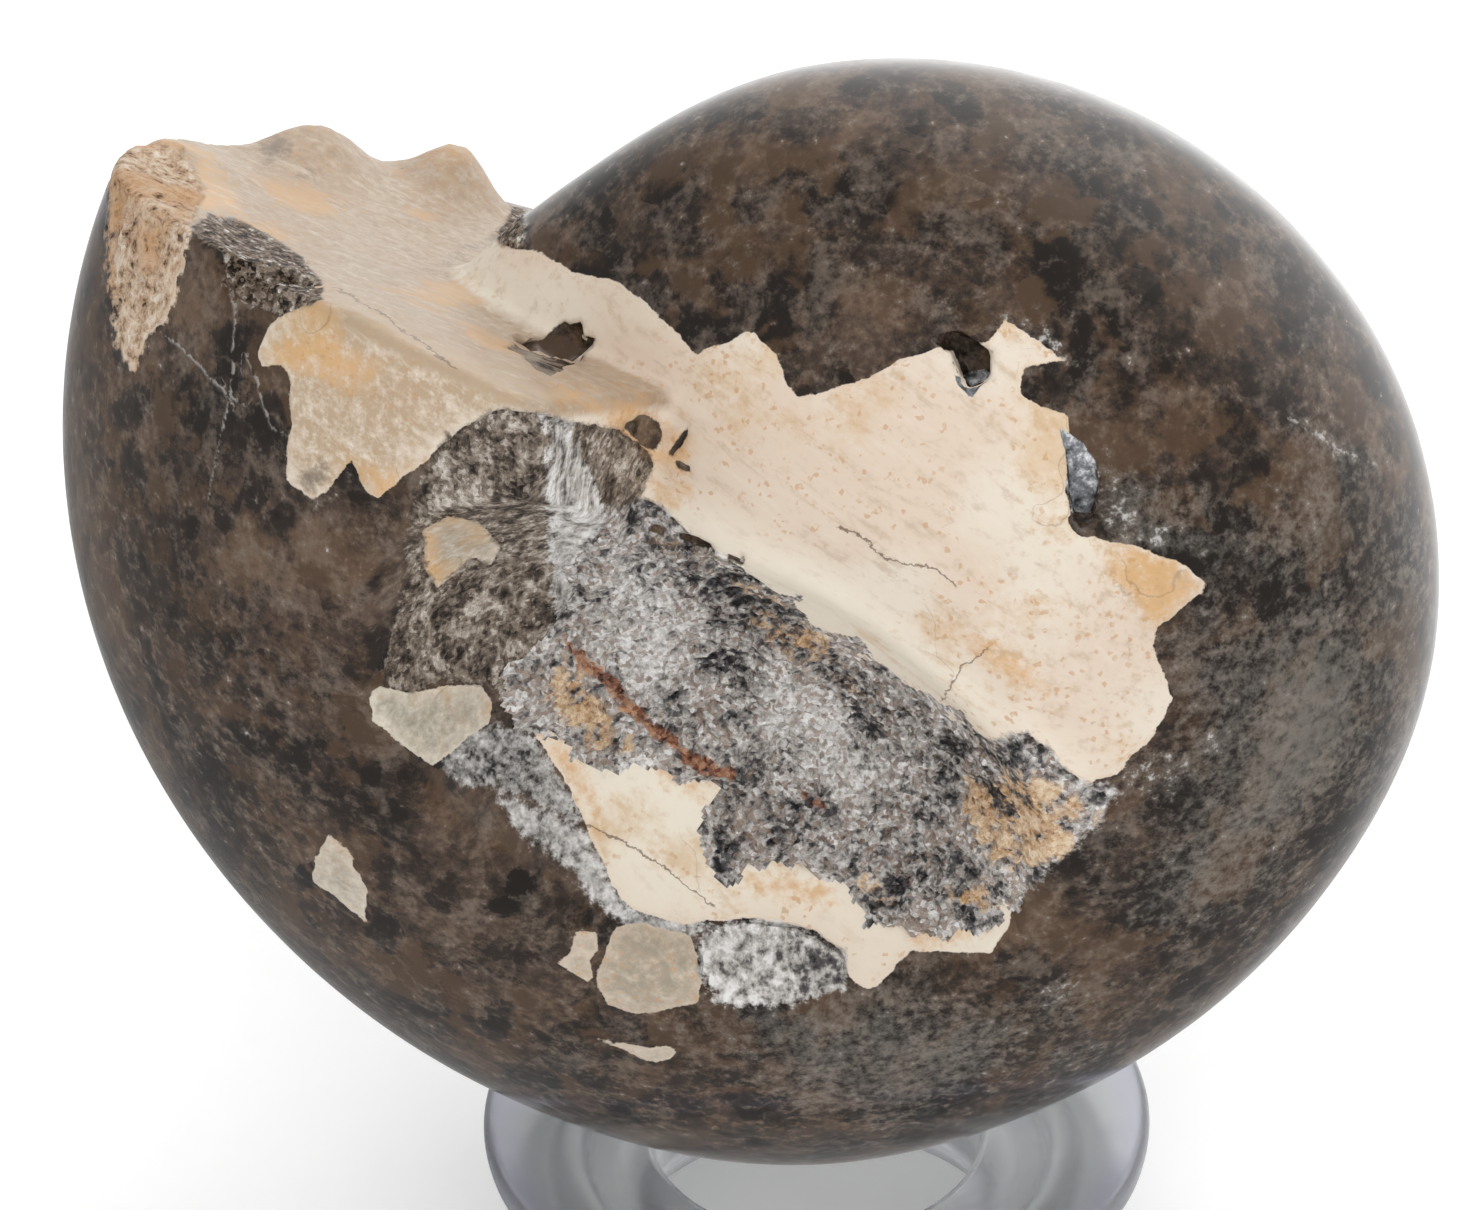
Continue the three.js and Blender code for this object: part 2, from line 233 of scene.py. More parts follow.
def coil_radius(back):
    place = (back - OVAL_FROM) / OVAL_STEP
    i = np.clip(np.floor(place).astype(int), 0, len(OVAL) - 2)
    f = place - i
    a, b, c, d = (OVAL[np.clip(i + k, 0, len(OVAL) - 1)] for k in (-1, 0, 1, 2))
    cubic = 3 * b - a - 3 * c + d
    oval = 0.5 * (2 * b + (c - a) * f + (2 * a - 5 * b + 4 * c - d) * f ** 2 + cubic * f ** 3)
    return COIL_RADIUS * WHORL_RATE ** (-back / 360) * (1 + oval)


section_turn = np.linspace(0, math.pi / 2, 400)
soften = (2 / FULLNESS - 1) / 2
section_along = np.cos(section_turn) * (np.cos(section_turn) ** 2 + RIM_ROUNDING) ** soften
section_out = np.sin(section_turn) * (np.sin(section_turn) ** 2 + RIM_ROUNDING) ** soften
section_slope = np.arctan2(section_out, section_along)
section_reach = np.hypot(section_out, section_along)


def whorl(u, v, w, back):
    """Rough distance out of the whorl at one angle back along the coil."""
    radius = coil_radius(back)
    r = np.hypot(u, v)
    along = (r / radius - WIDEST_AT) / (1 - WIDEST_AT)
    out = np.abs(w) / (HALF_WIDTH * radius)
    reach = np.interp(np.arctan2(out, along), section_slope, section_reach)
    outer = (np.hypot(along, out) / reach - 1) * HALF_WIDTH * radius
    inner = np.abs(w) - mix(INNER_FLANK_HEIGHT, HALF_WIDTH * radius, r / (WIDEST_AT * radius))
    return np.where(along > 0, outer, inner)


face_inward = np.array([1, 0, 0]) - FACE_NORMAL[0] * FACE_NORMAL
face_inward /= np.linalg.norm(face_inward)
face_across = np.cross(FACE_NORMAL, face_inward)


def face_height(points):
    """Distance above the broken face, with its soft hollow and its knobs."""
    x = (points - FACE_POINT) @ face_inward
    y = (points - FACE_POINT) @ face_across
    lift = -FACE_HOLLOW * np.exp(-(x / HOLLOW_REACH[0]) ** 2 - (y / HOLLOW_REACH[1]) ** 2)
    for u, v, w, height, radius in FACE_KNOBS:
        at = np.array([u, v, w]) - FACE_POINT
        away = (x - at @ face_inward) ** 2 + (y - at @ face_across) ** 2
        lift = lift + height * np.exp(-2 * away / radius ** 2)
    return (points - FACE_POINT) @ FACE_NORMAL - lift


def wall_height(points):
    return (points - WALL_POINT) @ WALL_NORMAL


def bowl_share(u, v):
    """Where a place is in the oval of the hollow: 0 at its middle, 1 at its nominal edge."""
    x = (u - BOWL_CENTRE[0]) * math.cos(BOWL_TURN) + (v - BOWL_CENTRE[1]) * math.sin(BOWL_TURN)
    y = (v - BOWL_CENTRE[1]) * math.cos(BOWL_TURN) - (u - BOWL_CENTRE[0]) * math.sin(BOWL_TURN)
    return np.hypot(x / BOWL_LONG, y / BOWL_SHORT)


def bowl_height(u, v):
    return BOWL_FLOOR + BOWL_RISE * bowl_share(u, v) ** BOWL_POWER


def side_of(u, v, degrees):
    turn = math.radians(degrees)
    return v * math.cos(turn) - u * math.sin(turn)


def chip_depth(points):
    """Rough distance out of the nearest chip. Each one is an oval cut off along its outline."""
    deepest = np.full(len(points), FAR_OUT)
    for (at, size, turn), outline in zip(CHIPS, [*NICKS[:3], GLASSY[0], POCKET]):
        near = np.linalg.norm(points - np.array(at), axis=1) < max(size) + 3
        if not near.any():
            continue
        turned = Matrix.Identity(3)
        for axis, degrees in zip("XYZ", turn):
            turned = turned @ Matrix.Rotation(math.radians(degrees), 3, axis)
        place = (points[near] - np.array(at)) @ np.array(turned) / np.array(size)
        away = (np.linalg.norm(place, axis=1) - 1) * min(size)
        away = away + CHIP_LUMPS * clouds(points[near], CHIP_LUMP_SIZE, 31)
        away = np.maximum(away, -inside_depth(picture_place(to_world(points[near])), outline))
        deepest[near] = np.minimum(deepest[near], away)
    return deepest


def angle_back(u, v):
    """Degrees back along the coil from where the last whorl ends."""
    angle = np.degrees(np.arctan2(v, u))
    return (angle - START_ANGLE - YOUNG_FROM) % 360 + YOUNG_FROM


def stone_field(points):
    """Rough distance out of the stone, negative inside."""
    u, v, w = points.T
    back = angle_back(u, v)
    last = whorl(u, v, w, back)
    cut = smooth_most(face_height(points), wall_height(points), FACE_SOFT)
    young = smooth_most(last, cut, YOUNG_SOFT)
    young = np.maximum(young, -side_of(u, v, START_ANGLE + YOUNG_FROM))
    young = np.maximum(young, side_of(u, v, START_ANGLE + YOUNG_TO))
    outer = np.minimum(young, np.where(back >= OLD_FROM, last, FAR_OUT))
    before = np.where(back + 360 <= OLD_TO, whorl(u, v, w, back + 360), FAR_OUT)
    stone = smooth_least(outer, before, WHORL_SOFT)
    stone = smooth_most(stone, np.abs(w) - bowl_height(u, v), BOWL_SOFT)
    return smooth_most(stone, -chip_depth(points), CHIP_SOFT)


def field_slope(field, points, step=0.02):
    slope = np.empty_like(points)
    for axis in range(3):
        shift = np.zeros(3)
        shift[axis] = step
        slope[:, axis] = (field(points + shift) - field(points - shift)) / (2 * step)
    return slope


def settle(field, points, rounds=3):
    """Moves points on to the surface of a field, and gives its outward normals there."""
    for _ in range(rounds):
        slope = field_slope(field, points)
        move = field(points) / np.maximum((slope ** 2).sum(1), 0.1)
        points = points - np.clip(move, -0.6, 0.6)[:, None] * slope
    slope = field_slope(field, points)
    return points, slope / np.linalg.norm(slope, axis=1, keepdims=True)


def surface_net(field, low, high, step):
    """Corner points and four-sided faces round the inside of a field."""
    axes = [np.arange(a, b, step) for a, b in zip(low, high)]
    grid = np.stack(np.meshgrid(*axes, indexing="ij"), -1)
    values = field(grid.reshape(-1, 3)).reshape(grid.shape[:3])
    cells = tuple(n - 1 for n in values.shape)
    total = np.zeros((3, np.prod(cells)))
    count = np.zeros(np.prod(cells))
    faces = []
    for axis in range(3):
        low_end = np.take(values, range(values.shape[axis] - 1), axis)
        high_end = np.take(values, range(1, values.shape[axis]), axis)
        at = np.argwhere((low_end < 0) != (high_end < 0))
        from_value = low_end[tuple(at.T)]
        to_value = high_end[tuple(at.T)]
        place = at.astype(float)
        place[:, axis] += from_value / (from_value - to_value)
        one, two = (axis + 1) % 3, (axis + 2) % 3
        ring = []
        for a, b in ((0, 0), (1, 0), (1, 1), (0, 1)):
            cell = at.copy()
            cell[:, one] -= a
            cell[:, two] -= b
            number = np.ravel_multi_index(tuple(cell.T), cells)
            count += np.bincount(number, minlength=len(count))
            for k in range(3):
                total[k] += np.bincount(number, place[:, k], minlength=len(count))
            ring.append(number)
        ring = np.stack(ring, 1)
        ring[from_value > 0] = ring[from_value > 0][:, ::-1]
        faces.append(ring)
    faces = np.concatenate(faces)
    used, faces = np.unique(faces, return_inverse=True)
    points = (total[:, used] / count[used]).T * step + np.array(low)
    return points, faces.reshape(-1, 4)


def mesh_from(name, points, faces):
    data = bpy.data.meshes.new(name)
    data.from_pydata(points.tolist(), [], faces.tolist())
    data.update()
    return data


def mesh_points(data):
    points = np.empty(len(data.vertices) * 3)
    data.vertices.foreach_get("co", points)
    return points.reshape(-1, 3)


def set_attribute(data, name, values):
    kind = "FLOAT" if values.ndim == 1 else "FLOAT_VECTOR"
    entry = data.attributes.new(name, kind, "POINT")
    field = "value" if values.ndim == 1 else "vector"
    entry.data.foreach_set(field, values.astype(np.float32).ravel())


# Outlines of what shows on the near flank, given as pixels of the picture. The first
# two are the upper and the lower edge of the crystals, which other outlines share.
UPPER_EDGE = [
    (636, 498), (660, 508), (690, 535), (720, 555), (770, 590), (800, 619), (851, 651), (908, 686),
    (947, 718), (991, 740), (1026, 734), (1049, 750), (1065, 769), (1087, 785),
]
LOWER_EDGE = [
    (526, 723), (551, 732), (583, 752), (602, 768), (634, 755), (679, 763), (727, 774), (733, 787),
    (711, 812), (708, 831), (717, 850), (730, 876), (747, 858), (809, 854), (852, 882), (871, 911),
    (905, 916), (972, 911), (1015, 901),
]
BREAK = [
    (100, 130), (120, 110), (280, 90), (440, 110), (484, 150), (516, 208), (497, 238), (515, 250),
    (542, 251), (554, 263), (573, 273), (607, 278), (630, 292), (652, 308), (677, 333), (697, 357),
    (705, 351), (736, 335), (754, 333), (775, 355), (790, 390), (800, 397), (851, 384), (880, 372),
    (905, 357), (934, 348), (960, 345), (990, 340), (1004, 319), (1023, 330), (1065, 359),
    (1023, 367), (1020, 396), (1052, 408), (1068, 415), (1071, 437), (1065, 440), (1068, 491),
    (1074, 523), (1087, 536), (1119, 542), (1167, 555), (1189, 565), (1208, 587), (1183, 609),
    (1157, 628), (1154, 651), (1167, 679), (1173, 695), (1163, 721), (1148, 743), (1125, 762),
    (1119, 775), *UPPER_EDGE[::-1], (655, 465), (650, 450), (620, 431), (571, 422), (548, 416),
    (522, 412), (505, 408), (491, 412), (462, 429), (445, 445), (400, 480), (378, 500), (366, 492),
    (350, 460), (343, 470), (331, 492), (315, 499), (292, 486), (286, 479), (288, 451), (291, 419),
    (292, 381), (283, 365), (262, 365), (259, 352), (270, 326), (283, 318), (300, 307), (321, 296),
    (323, 285), (302, 259), (273, 237), (241, 223), (209, 216), (190, 228), (181, 263), (174, 298),
    (165, 323), (146, 336), (133, 371), (118, 340), (111, 260), (113, 190),
]
SHOULDER = [
    *LOWER_EDGE, (1010, 925), (991, 954), (972, 952), (910, 949), (890, 973), (871, 990),
    (852, 978), (843, 949), (809, 930), (757, 920), (704, 920), (685, 925), (637, 911), (618, 897),
    (589, 834), (580, 810), (556, 767), (532, 734),
]
SPOTS = [
    [(368, 697), (378, 687), (407, 692), (478, 682), (493, 706), (488, 725), (459, 744), (433, 766),
     (397, 740), (373, 720)],
    [(330, 833), (316, 859), (311, 878), (335, 897), (366, 924), (366, 888), (349, 850)],
    [(576, 931), (569, 955), (555, 964), (588, 983), (595, 979), (588, 960), (598, 950),
     (598, 931)],
    [(617, 926), (603, 960), (598, 983), (607, 1003), (636, 1017), (670, 1007), (700, 1000),
     (700, 965), (690, 935), (650, 925)],
    [(590, 1036), (610, 1041), (629, 1045), (651, 1046), (668, 1044), (675, 1051), (673, 1058),
     (658, 1061), (639, 1057), (619, 1048)],
    [(422, 530), (450, 514), (480, 520), (500, 545), (492, 565), (470, 560), (455, 575), (435, 590),
     (425, 570)],
]
BEAK = [
    (100, 130), (118, 140), (180, 150), (205, 190), (190, 228), (181, 263), (174, 298), (165, 323),
    (146, 336), (133, 371), (116, 345), (108, 260), (110, 190),
]
POCKET = [
    (190, 228), (209, 216), (241, 223), (273, 237), (302, 259), (323, 285), (321, 296), (302, 306),
    (283, 317), (262, 310), (241, 299), (225, 282), (222, 253), (205, 245),
]
SADDLE = [(500, 190), (524, 190), (524, 248), (505, 246), (496, 236), (514, 208)]
NICKS = [
    [(508, 346), (540, 338), (562, 320), (568, 324), (581, 320), (583, 339), (595, 339), (593, 347),
     (562, 371), (550, 377), (538, 371)],
    [(621, 424), (644, 414), (660, 420), (662, 431), (656, 451), (640, 443)],
    [(931, 335), (958, 331), (991, 350), (991, 376), (972, 394), (962, 380), (950, 352)],
    [(690, 425), (684, 445), (672, 458), (667, 453), (678, 440)],
    [(653, 524), (666, 529), (664, 536), (652, 531)],
    [(678, 533), (698, 538), (713, 547), (709, 552), (692, 546), (677, 540)],
    [(728, 555), (745, 561), (743, 567), (727, 561)],
    [(673, 463), (689, 466), (689, 472), (676, 470)],
]
GLASSY = [
    [(1061, 428), (1080, 440), (1096, 460), (1099, 482), (1094, 512), (1085, 536), (1076, 526),
     (1069, 490), (1065, 455)],
    [(953, 374), (985, 370), (991, 378), (973, 396), (961, 386)],
]
GRAVEL = [
    *UPPER_EDGE, (1120, 790), (1100, 820), (1060, 860), *LOWER_EDGE[::-1], (505, 700), (520, 680),
    (560, 650), (570, 600), (590, 540), (610, 500),
]
RUBBLE = [
    (448, 437), (462, 429), (491, 412), (505, 408), (548, 416), (571, 422), (620, 431), (655, 465),
    (636, 498), (606, 508), (592, 470), (572, 450), (560, 560), (566, 640), (550, 670), (520, 690),
    (478, 682), (440, 680), (407, 692), (385, 680), (392, 640), (405, 590), (408, 540), (420, 490),
]
FIBRES = [
    [(544, 416), (572, 424), (590, 470), (606, 510), (602, 580), (594, 620), (578, 656), (562, 652),
     (554, 600), (548, 520)],
    [(700, 925), (757, 922), (809, 932), (843, 950), (850, 985), (790, 1003), (720, 1003),
     (698, 975)],
]
ASHES = [
    [(440, 745), (480, 726), (520, 730), (545, 760), (580, 810), (575, 822), (540, 800), (500, 790),
     (450, 775)],
    [(500, 800), (560, 818), (590, 836), (618, 897), (640, 913), (700, 925), (690, 940), (640, 935),
     (600, 905), (560, 860), (520, 830)],
]
TANNED = [
    [(1110, 545), (1167, 555), (1210, 585), (1185, 612), (1150, 632), (1135, 600)],
    [(255, 352), (283, 305), (340, 300), (420, 332), (500, 372), (556, 398), (520, 410), (470, 426),
     (440, 440), (380, 500), (320, 505), (286, 480)],
    [(617, 926), (603, 960), (598, 983), (607, 1003), (636, 1017), (670, 1007), (700, 1000),
     (700, 965), (690, 935), (650, 925)],
]
WARMED = [
    [(1092, 538), (1167, 553), (1212, 584), (1185, 612), (1150, 636), (1130, 600), (1100, 575)],
    [(190, 205), (245, 222), (240, 190), (205, 160), (185, 170)],
    [(262, 345), (330, 330), (390, 360), (370, 400), (310, 380), (270, 370)],
    [(560, 392), (640, 400), (700, 440), (690, 480), (640, 470), (600, 425)],
    [(640, 470), (700, 482), (690, 520), (650, 506)],
    [(366, 470), (400, 470), (410, 520), (375, 505)],
    [(526, 723), (575, 740), (600, 790), (600, 840), (570, 790)],
    [(640, 740), (720, 775), (710, 810), (660, 790)],
    [(740, 870), (830, 880), (860, 910), (800, 905), (740, 890)],
    [(900, 925), (990, 915), (1000, 940), (910, 950)],
    [(930, 620), (1010, 640), (1060, 700), (990, 680)],
    [(410, 520), (440, 530), (440, 590), (415, 570)],
]
# Painted light: the shoulder and the wall band above the crystals, where the cream is made paler to
# look lit.
PAINTED_LIGHT_BANDS = [
    SHOULDER,
    [(650, 480), (720, 505), (800, 556), (880, 612), (960, 668), (1030, 716), (1090, 762),
     (1080, 782), (1040, 752), (991, 736), (908, 682), (851, 647), (800, 615), (720, 551),
     (660, 504)],
]
GLINTS = [
    [(1098, 462), (1130, 476), (1152, 516), (1215, 545), (1165, 552), (1110, 536), (1096, 512)],
    [(984, 306), (1012, 312), (1064, 342), (1080, 368), (1050, 352), (1010, 330)],
    [(1190, 733), (1228, 733), (1216, 757), (1192, 752)],
    [(1110, 770), (1165, 748), (1200, 775), (1150, 800)],
    [(1293, 418), (1314, 423), (1346, 443), (1374, 461), (1368, 471), (1336, 456), (1303, 435)],
    [(742, 180), (758, 178), (758, 192), (744, 192)],
    [(300, 470), (330, 455), (335, 500), (318, 512)],
    [(1040, 985), (1075, 975), (1062, 1008), (1048, 1008)],
]
# Painted shade, in part: dark patches on the face. The third is the dark line of shade in the
# crease at the valley, and the rest are dark patches of the face.
DARK_PATCHES_AND_CREASE_SHADE = [
    [(252, 146), (272, 130), (300, 140), (292, 160), (262, 168)],
    [(288, 166), (322, 168), (318, 182), (292, 180)],
    [(436, 262), (470, 240), (505, 226), (512, 240), (470, 260), (448, 270)],
    [(292, 470), (330, 450), (340, 480), (318, 500), (296, 490)],
]
MILKS = [
    [(1085, 440), (1180, 460), (1215, 520), (1290, 420), (1380, 440), (1420, 560), (1430, 700),
     (1390, 800), (1300, 880), (1180, 960), (1120, 900), (1180, 760), (1180, 660), (1240, 590),
     (1190, 540), (1120, 530)],
    [(720, 1015), (860, 1005), (1000, 965), (1150, 955), (1100, 1050), (950, 1110), (780, 1125)],
]
SEAM = [
    [(560, 634), (572, 638), (603, 663), (641, 705), (690, 741), (738, 764), (735, 780), (684, 757),
     (632, 717), (592, 675), (566, 653)],
    [(800, 790), (830, 800), (826, 806), (798, 796)],
]
OCHRES = [
    [(556, 640), (590, 672), (618, 715), (640, 748), (606, 766), (578, 760), (554, 735),
     (543, 690)],
    [(960, 765), (1040, 765), (1100, 790), (1090, 835), (1060, 865), (1015, 880), (975, 850),
     (950, 800)],
    [(930, 870), (985, 860), (1015, 895), (980, 912), (935, 900)],
    [(850, 868), (890, 850), (920, 880), (895, 915), (862, 902)],
    [(705, 550), (760, 588), (830, 640), (880, 690), (866, 694), (800, 650), (730, 602)],
    [(640, 520), (690, 545), (700, 560), (660, 550)],
]
FROSTS = [
    [(596, 560), (640, 540), (690, 560), (705, 620), (680, 665), (640, 700), (606, 665),
     (592, 610)],
    [(780, 640), (850, 690), (900, 760), (860, 800), (790, 770), (740, 700)],
    [(560, 796), (600, 830), (640, 895), (700, 925), (690, 944), (620, 912), (580, 866)],
    [(704, 934), (750, 930), (772, 960), (752, 1000), (714, 996)],
]
PITCHES = [
    [(630, 505), (700, 540), (770, 590), (850, 655), (920, 705), (900, 725), (840, 690), (760, 640),
     (700, 600), (640, 560)],
    [(712, 790), (760, 788), (800, 826), (770, 850), (730, 862), (712, 840)],
    [(920, 725), (1010, 750), (1060, 790), (1030, 830), (980, 800), (930, 760)],
    [(880, 830), (950, 820), (960, 860), (900, 880)],
    [(445, 745), (480, 735), (530, 740), (566, 795), (520, 795), (460, 775)],
    [(790, 924), (852, 948), (852, 990), (800, 1002), (782, 962)],
]
CRACKS = [
    [(842, 530), (868, 541), (882, 556), (905, 563), (922, 566), (940, 571), (950, 582)],
    [(582, 822), (612, 836), (645, 853), (680, 880), (708, 901)],
    [(945, 696), (962, 668), (984, 652)],
    [(340, 290), (367, 307), (395, 325), (425, 345), (450, 366)],
]
VEINS = [
    [(168, 338), (185, 350), (205, 372), (225, 395), (240, 404)],
    [(232, 280), (236, 330), (232, 370), (228, 400), (218, 450), (210, 490)],
    [(250, 360), (262, 400), (275, 430), (288, 436)],
    [(1296, 424), (1325, 440), (1345, 452), (1370, 463)],
    [(1052, 1003), (1070, 989)],
]


def away_from(places, a, b):
    """Distances in pixels from places in the picture to the straight side from a to b."""
    side = b - a
    share = np.clip(((places - a) @ side) / (side @ side), 0, 1)
    return np.hypot(*(places - a - share[:, None] * side).T)


def inside_depth(places, outline):
    """How far in millimetres a place in the picture is inside an outline, negative outside it."""
    corners = np.array(outline, float)
    nearest = np.full(len(places), 1e9)
    inside = np.zeros(len(places), bool)
    for a, b in zip(corners, np.roll(corners, -1, 0)):
        side = b - a
        nearest = np.minimum(nearest, away_from(places, a, b))
        spans = (a[1] > places[:, 1]) != (b[1] > places[:, 1])
        if side[1]:
            crossing = a[0] + (places[:, 1] - a[1]) * side[0] / side[1]
            inside ^= spans & (places[:, 0] < crossing)
    return np.where(inside, nearest, -nearest) * PIXEL


def deepest_of(places, outlines):
    return np.max([inside_depth(places, outline) for outline in outlines], 0)


def beside(places, lines):
    """Distances in millimetres to the nearest line: across it, with a sign, and outright."""
    nearest = np.full(len(places), 1e9)
    across = nearest.copy()
    for line in lines:
        corners = np.array(line, float)
        for a, b in zip(corners[:-1], corners[1:]):
            side = b - a
            away = away_from(places, a, b)
            offset = (places - a) @ np.array([-side[1], side[0]]) / math.hypot(*side)
            across = np.where(away < nearest, offset, across)
            nearest = np.minimum(nearest, away)
    return across * PIXEL, nearest * PIXEL


def unevenness(points):
    """Shifts in pixels that break up the outlines of stains."""
    return np.stack([11 * clouds(points, 2.6, seed) for seed in (60, 65)], 1)


def crystal_shades(places):
    """Shares from 0 to 1 of what colours the loose crystal, for places in the picture."""
    return {
        "seam": ease(-0.35, 0.35, deepest_of(places, SEAM)),
        "ochre": ease(-1.0, 1.4, deepest_of(places, OCHRES)),
        "frost": ease(-1.0, 2.0, deepest_of(places, FROSTS)),
        "pitch": ease(-1.0, 1.2, deepest_of(places, PITCHES)),
    }


STONE_STEP = 0.95
NET_LOW, NET_HIGH = (-58, -50, -32), (58, 54, 32)
points, faces = surface_net(stone_field, NET_LOW, NET_HIGH, STONE_STEP)
points, normals = settle(stone_field, points)


# How far, in pixels, the outlines wander on the far flank and on the near one, and in how big
# waves, in millimetres. The face's own zone is a band about its surface.
FAR_WANDER, FAR_WAVE = 26, 9
NEAR_WANDER, NEAR_WAVE = 2.5, 1.6
FACE_BAND = 0.7
OFF_FACE = -2


def zones_at(points, normals):
    """Depths in millimetres into each kind of rock, by its name, for places on the stone."""
    u, v, w = points.T
    seen = to_world(points)
    to_eye = camera_place - seen
    to_eye /= np.linalg.norm(to_eye, axis=1, keepdims=True)
    facing = ease(-0.2, 0.02, ((normals @ coil_to_world.T) * to_eye).sum(1))
    near = picture_place(seen)
    wander = np.stack([clouds(points, FAR_WAVE, seed) for seed in (40, 50)], 1)
    far = picture_place(to_world(points * np.array([1, 1, -1])))
    far = far + FAR_WANDER * ease(0, 14, -w)[:, None] * wander
    near = near + NEAR_WANDER * np.stack([clouds(points, NEAR_WAVE, seed) for seed in (60, 70)], 1)

    def depth(outlines):
        return mix(deepest_of(far, outlines), deepest_of(near, outlines), facing)

    on_face = FACE_BAND - np.abs(face_height(points))
    on_face = np.where(side_of(u, v, START_ANGLE + YOUNG_FROM) > -6, on_face, OFF_FACE)
    on_face = np.where(side_of(u, v, START_ANGLE + YOUNG_TO) < -1, on_face, OFF_FACE)
    back = angle_back(u, v)
    before = np.where(back + 360 <= OLD_TO, whorl(u, v, w, back + 360), FAR_OUT)
    beyond = side_of(u, v, START_ANGLE + YOUNG_FROM) < 0
    before = np.where(beyond, np.minimum(before, whorl(u, v, w, back)), before)
    on_face = np.minimum(on_face, before - 0.5)
    crack, crack_reach = mix(np.array(beside(far, CRACKS)), np.array(beside(near, CRACKS)), facing)
    vein, vein_reach = mix(np.array(beside(far, VEINS)), np.array(beside(near, VEINS)), facing)
    lines = {"crack": crack, "crack_reach": crack_reach, "vein": vein, "vein_reach": vein_reach}
    shades = crystal_shades(mix(far, near, facing[:, None]) + unevenness(points))
    return lines | shades | {
        "chalk": np.maximum(depth([BREAK, SHOULDER] + SPOTS), mix(on_face, -3, facing)),
        "gravel": depth([GRAVEL]),
        "tanned": ease(-1.5, 2, depth(TANNED)),
        "dusty": ease(-1.2, 1.2, depth(SPOTS)),
        "warmed": ease(-1.2, 1.2, depth(WARMED)),
        "paled": ease(-1.5, 1.5, depth(PAINTED_LIGHT_BANDS)),
        "glint": ease(-0.8, 0.6, depth(GLINTS)),
        "smudge": ease(-0.6, 0.9, depth(DARK_PATCHES_AND_CREASE_SHADE)),
        "milk": ease(-4, 8, depth(MILKS) + 3 * clouds(points, 7, 75)),
        "rubble": np.minimum(depth([RUBBLE]), -depth([SPOTS[-1]])),
        "fibre": depth(FIBRES),
        "ash": depth(ASHES),
        "beak": depth([BEAK]),
        "pocket": depth([POCKET, SADDLE]),
        "nick": depth(NICKS),
        "glassy": depth(GLASSY),
        "face": on_face,
    }


def finer(data, wanted):
    """A copy of a mesh with the edges between wanted points halved."""
    sheet = bmesh.new()
    sheet.from_mesh(data)
    sheet.verts.ensure_lookup_table()
    split = [e for e in sheet.edges if wanted[e.verts[0].index] and wanted[e.verts[1].index]]
    bmesh.ops.subdivide_edges(sheet, edges=split, cuts=1, use_grid_fill=True)
    bmesh.ops.triangulate(sheet, faces=sheet.faces)
    made = bpy.data.meshes.new("ammonite_stone")
    sheet.to_mesh(made)
    sheet.free()
    bpy.data.meshes.remove(data)
    return made


# Faces are smaller where kinds of rock meet and where the rock is rough, and smaller still
# round the chips.
zones = zones_at(points, normals)
fine = np.zeros(len(points), bool)
for name, reach in (("chalk", 1.2), ("nick", 1.5), ("glassy", 1.5), ("ash", 1.0)):
    fine |= np.abs(zones[name]) < reach
for name in ("gravel", "rubble", "fibre", "beak", "pocket", "face"):
    fine |= zones[name] > -1.2
fine |= (zones["crack_reach"] < 1) | (zones["vein_reach"] < 1)
fine &= points[:, 2] > -22
stone_data = finer(mesh_from("stone_coarse", points, faces), fine)
points, normals = settle(stone_field, mesh_points(stone_data), 2)
zones = zones_at(points, normals)
chipped = np.maximum.reduce([zones["nick"], zones["glassy"], zones["pocket"]]) > -0.5
stone_data = finer(stone_data, chipped & (points[:, 2] > 0))
points, normals = settle(stone_field, mesh_points(stone_data), 2)
zones = zones_at(points, normals)


def inside(name, width=0.5):
    return ease(-width / 2, width / 2, zones[name])


# Relief, in millimetres: crystals, fibres, the beak's pores, the face's waves and thin rims.
LARGE_GRAIN, SMALL_GRAIN = 1.5, 0.8
GRAIN_HEIGHT = 0.26
WAVE_HEIGHT = 0.18
PORE_DEPTH = 0.4
first, second, lot = grains(points, LARGE_GRAIN, 11)
clump = 0.6 * lot + 0.6 * grains(points, SMALL_GRAIN, 18)[2] - 0.6
relief = GRAIN_HEIGHT * (lot - 0.5) * ease(0.05, 0.3, second - first)
rough = np.maximum.reduce([inside("gravel"), inside("rubble"), inside("pocket")])
rough = np.maximum(rough, inside("ash") * 0.4)
lift = rough * (relief + WAVE_HEIGHT * clouds(points, 2.6, 12))
streaks = clouds(points * np.array([1, 0.22, 1]), 0.9, 13)
lift += inside("fibre") * WAVE_HEIGHT * streaks
lift -= inside("beak") * PORE_DEPTH * ease(0.15, 0.6, clouds(points, 1.3, 14))
lift += inside("face") * (0.22 * clouds(points, 5, 15) + 0.06 * clouds(points, 1.1, 16))
lift -= inside("nick", 0.3) * 0.2
lift += 0.05 * inside("chalk", 0.3)

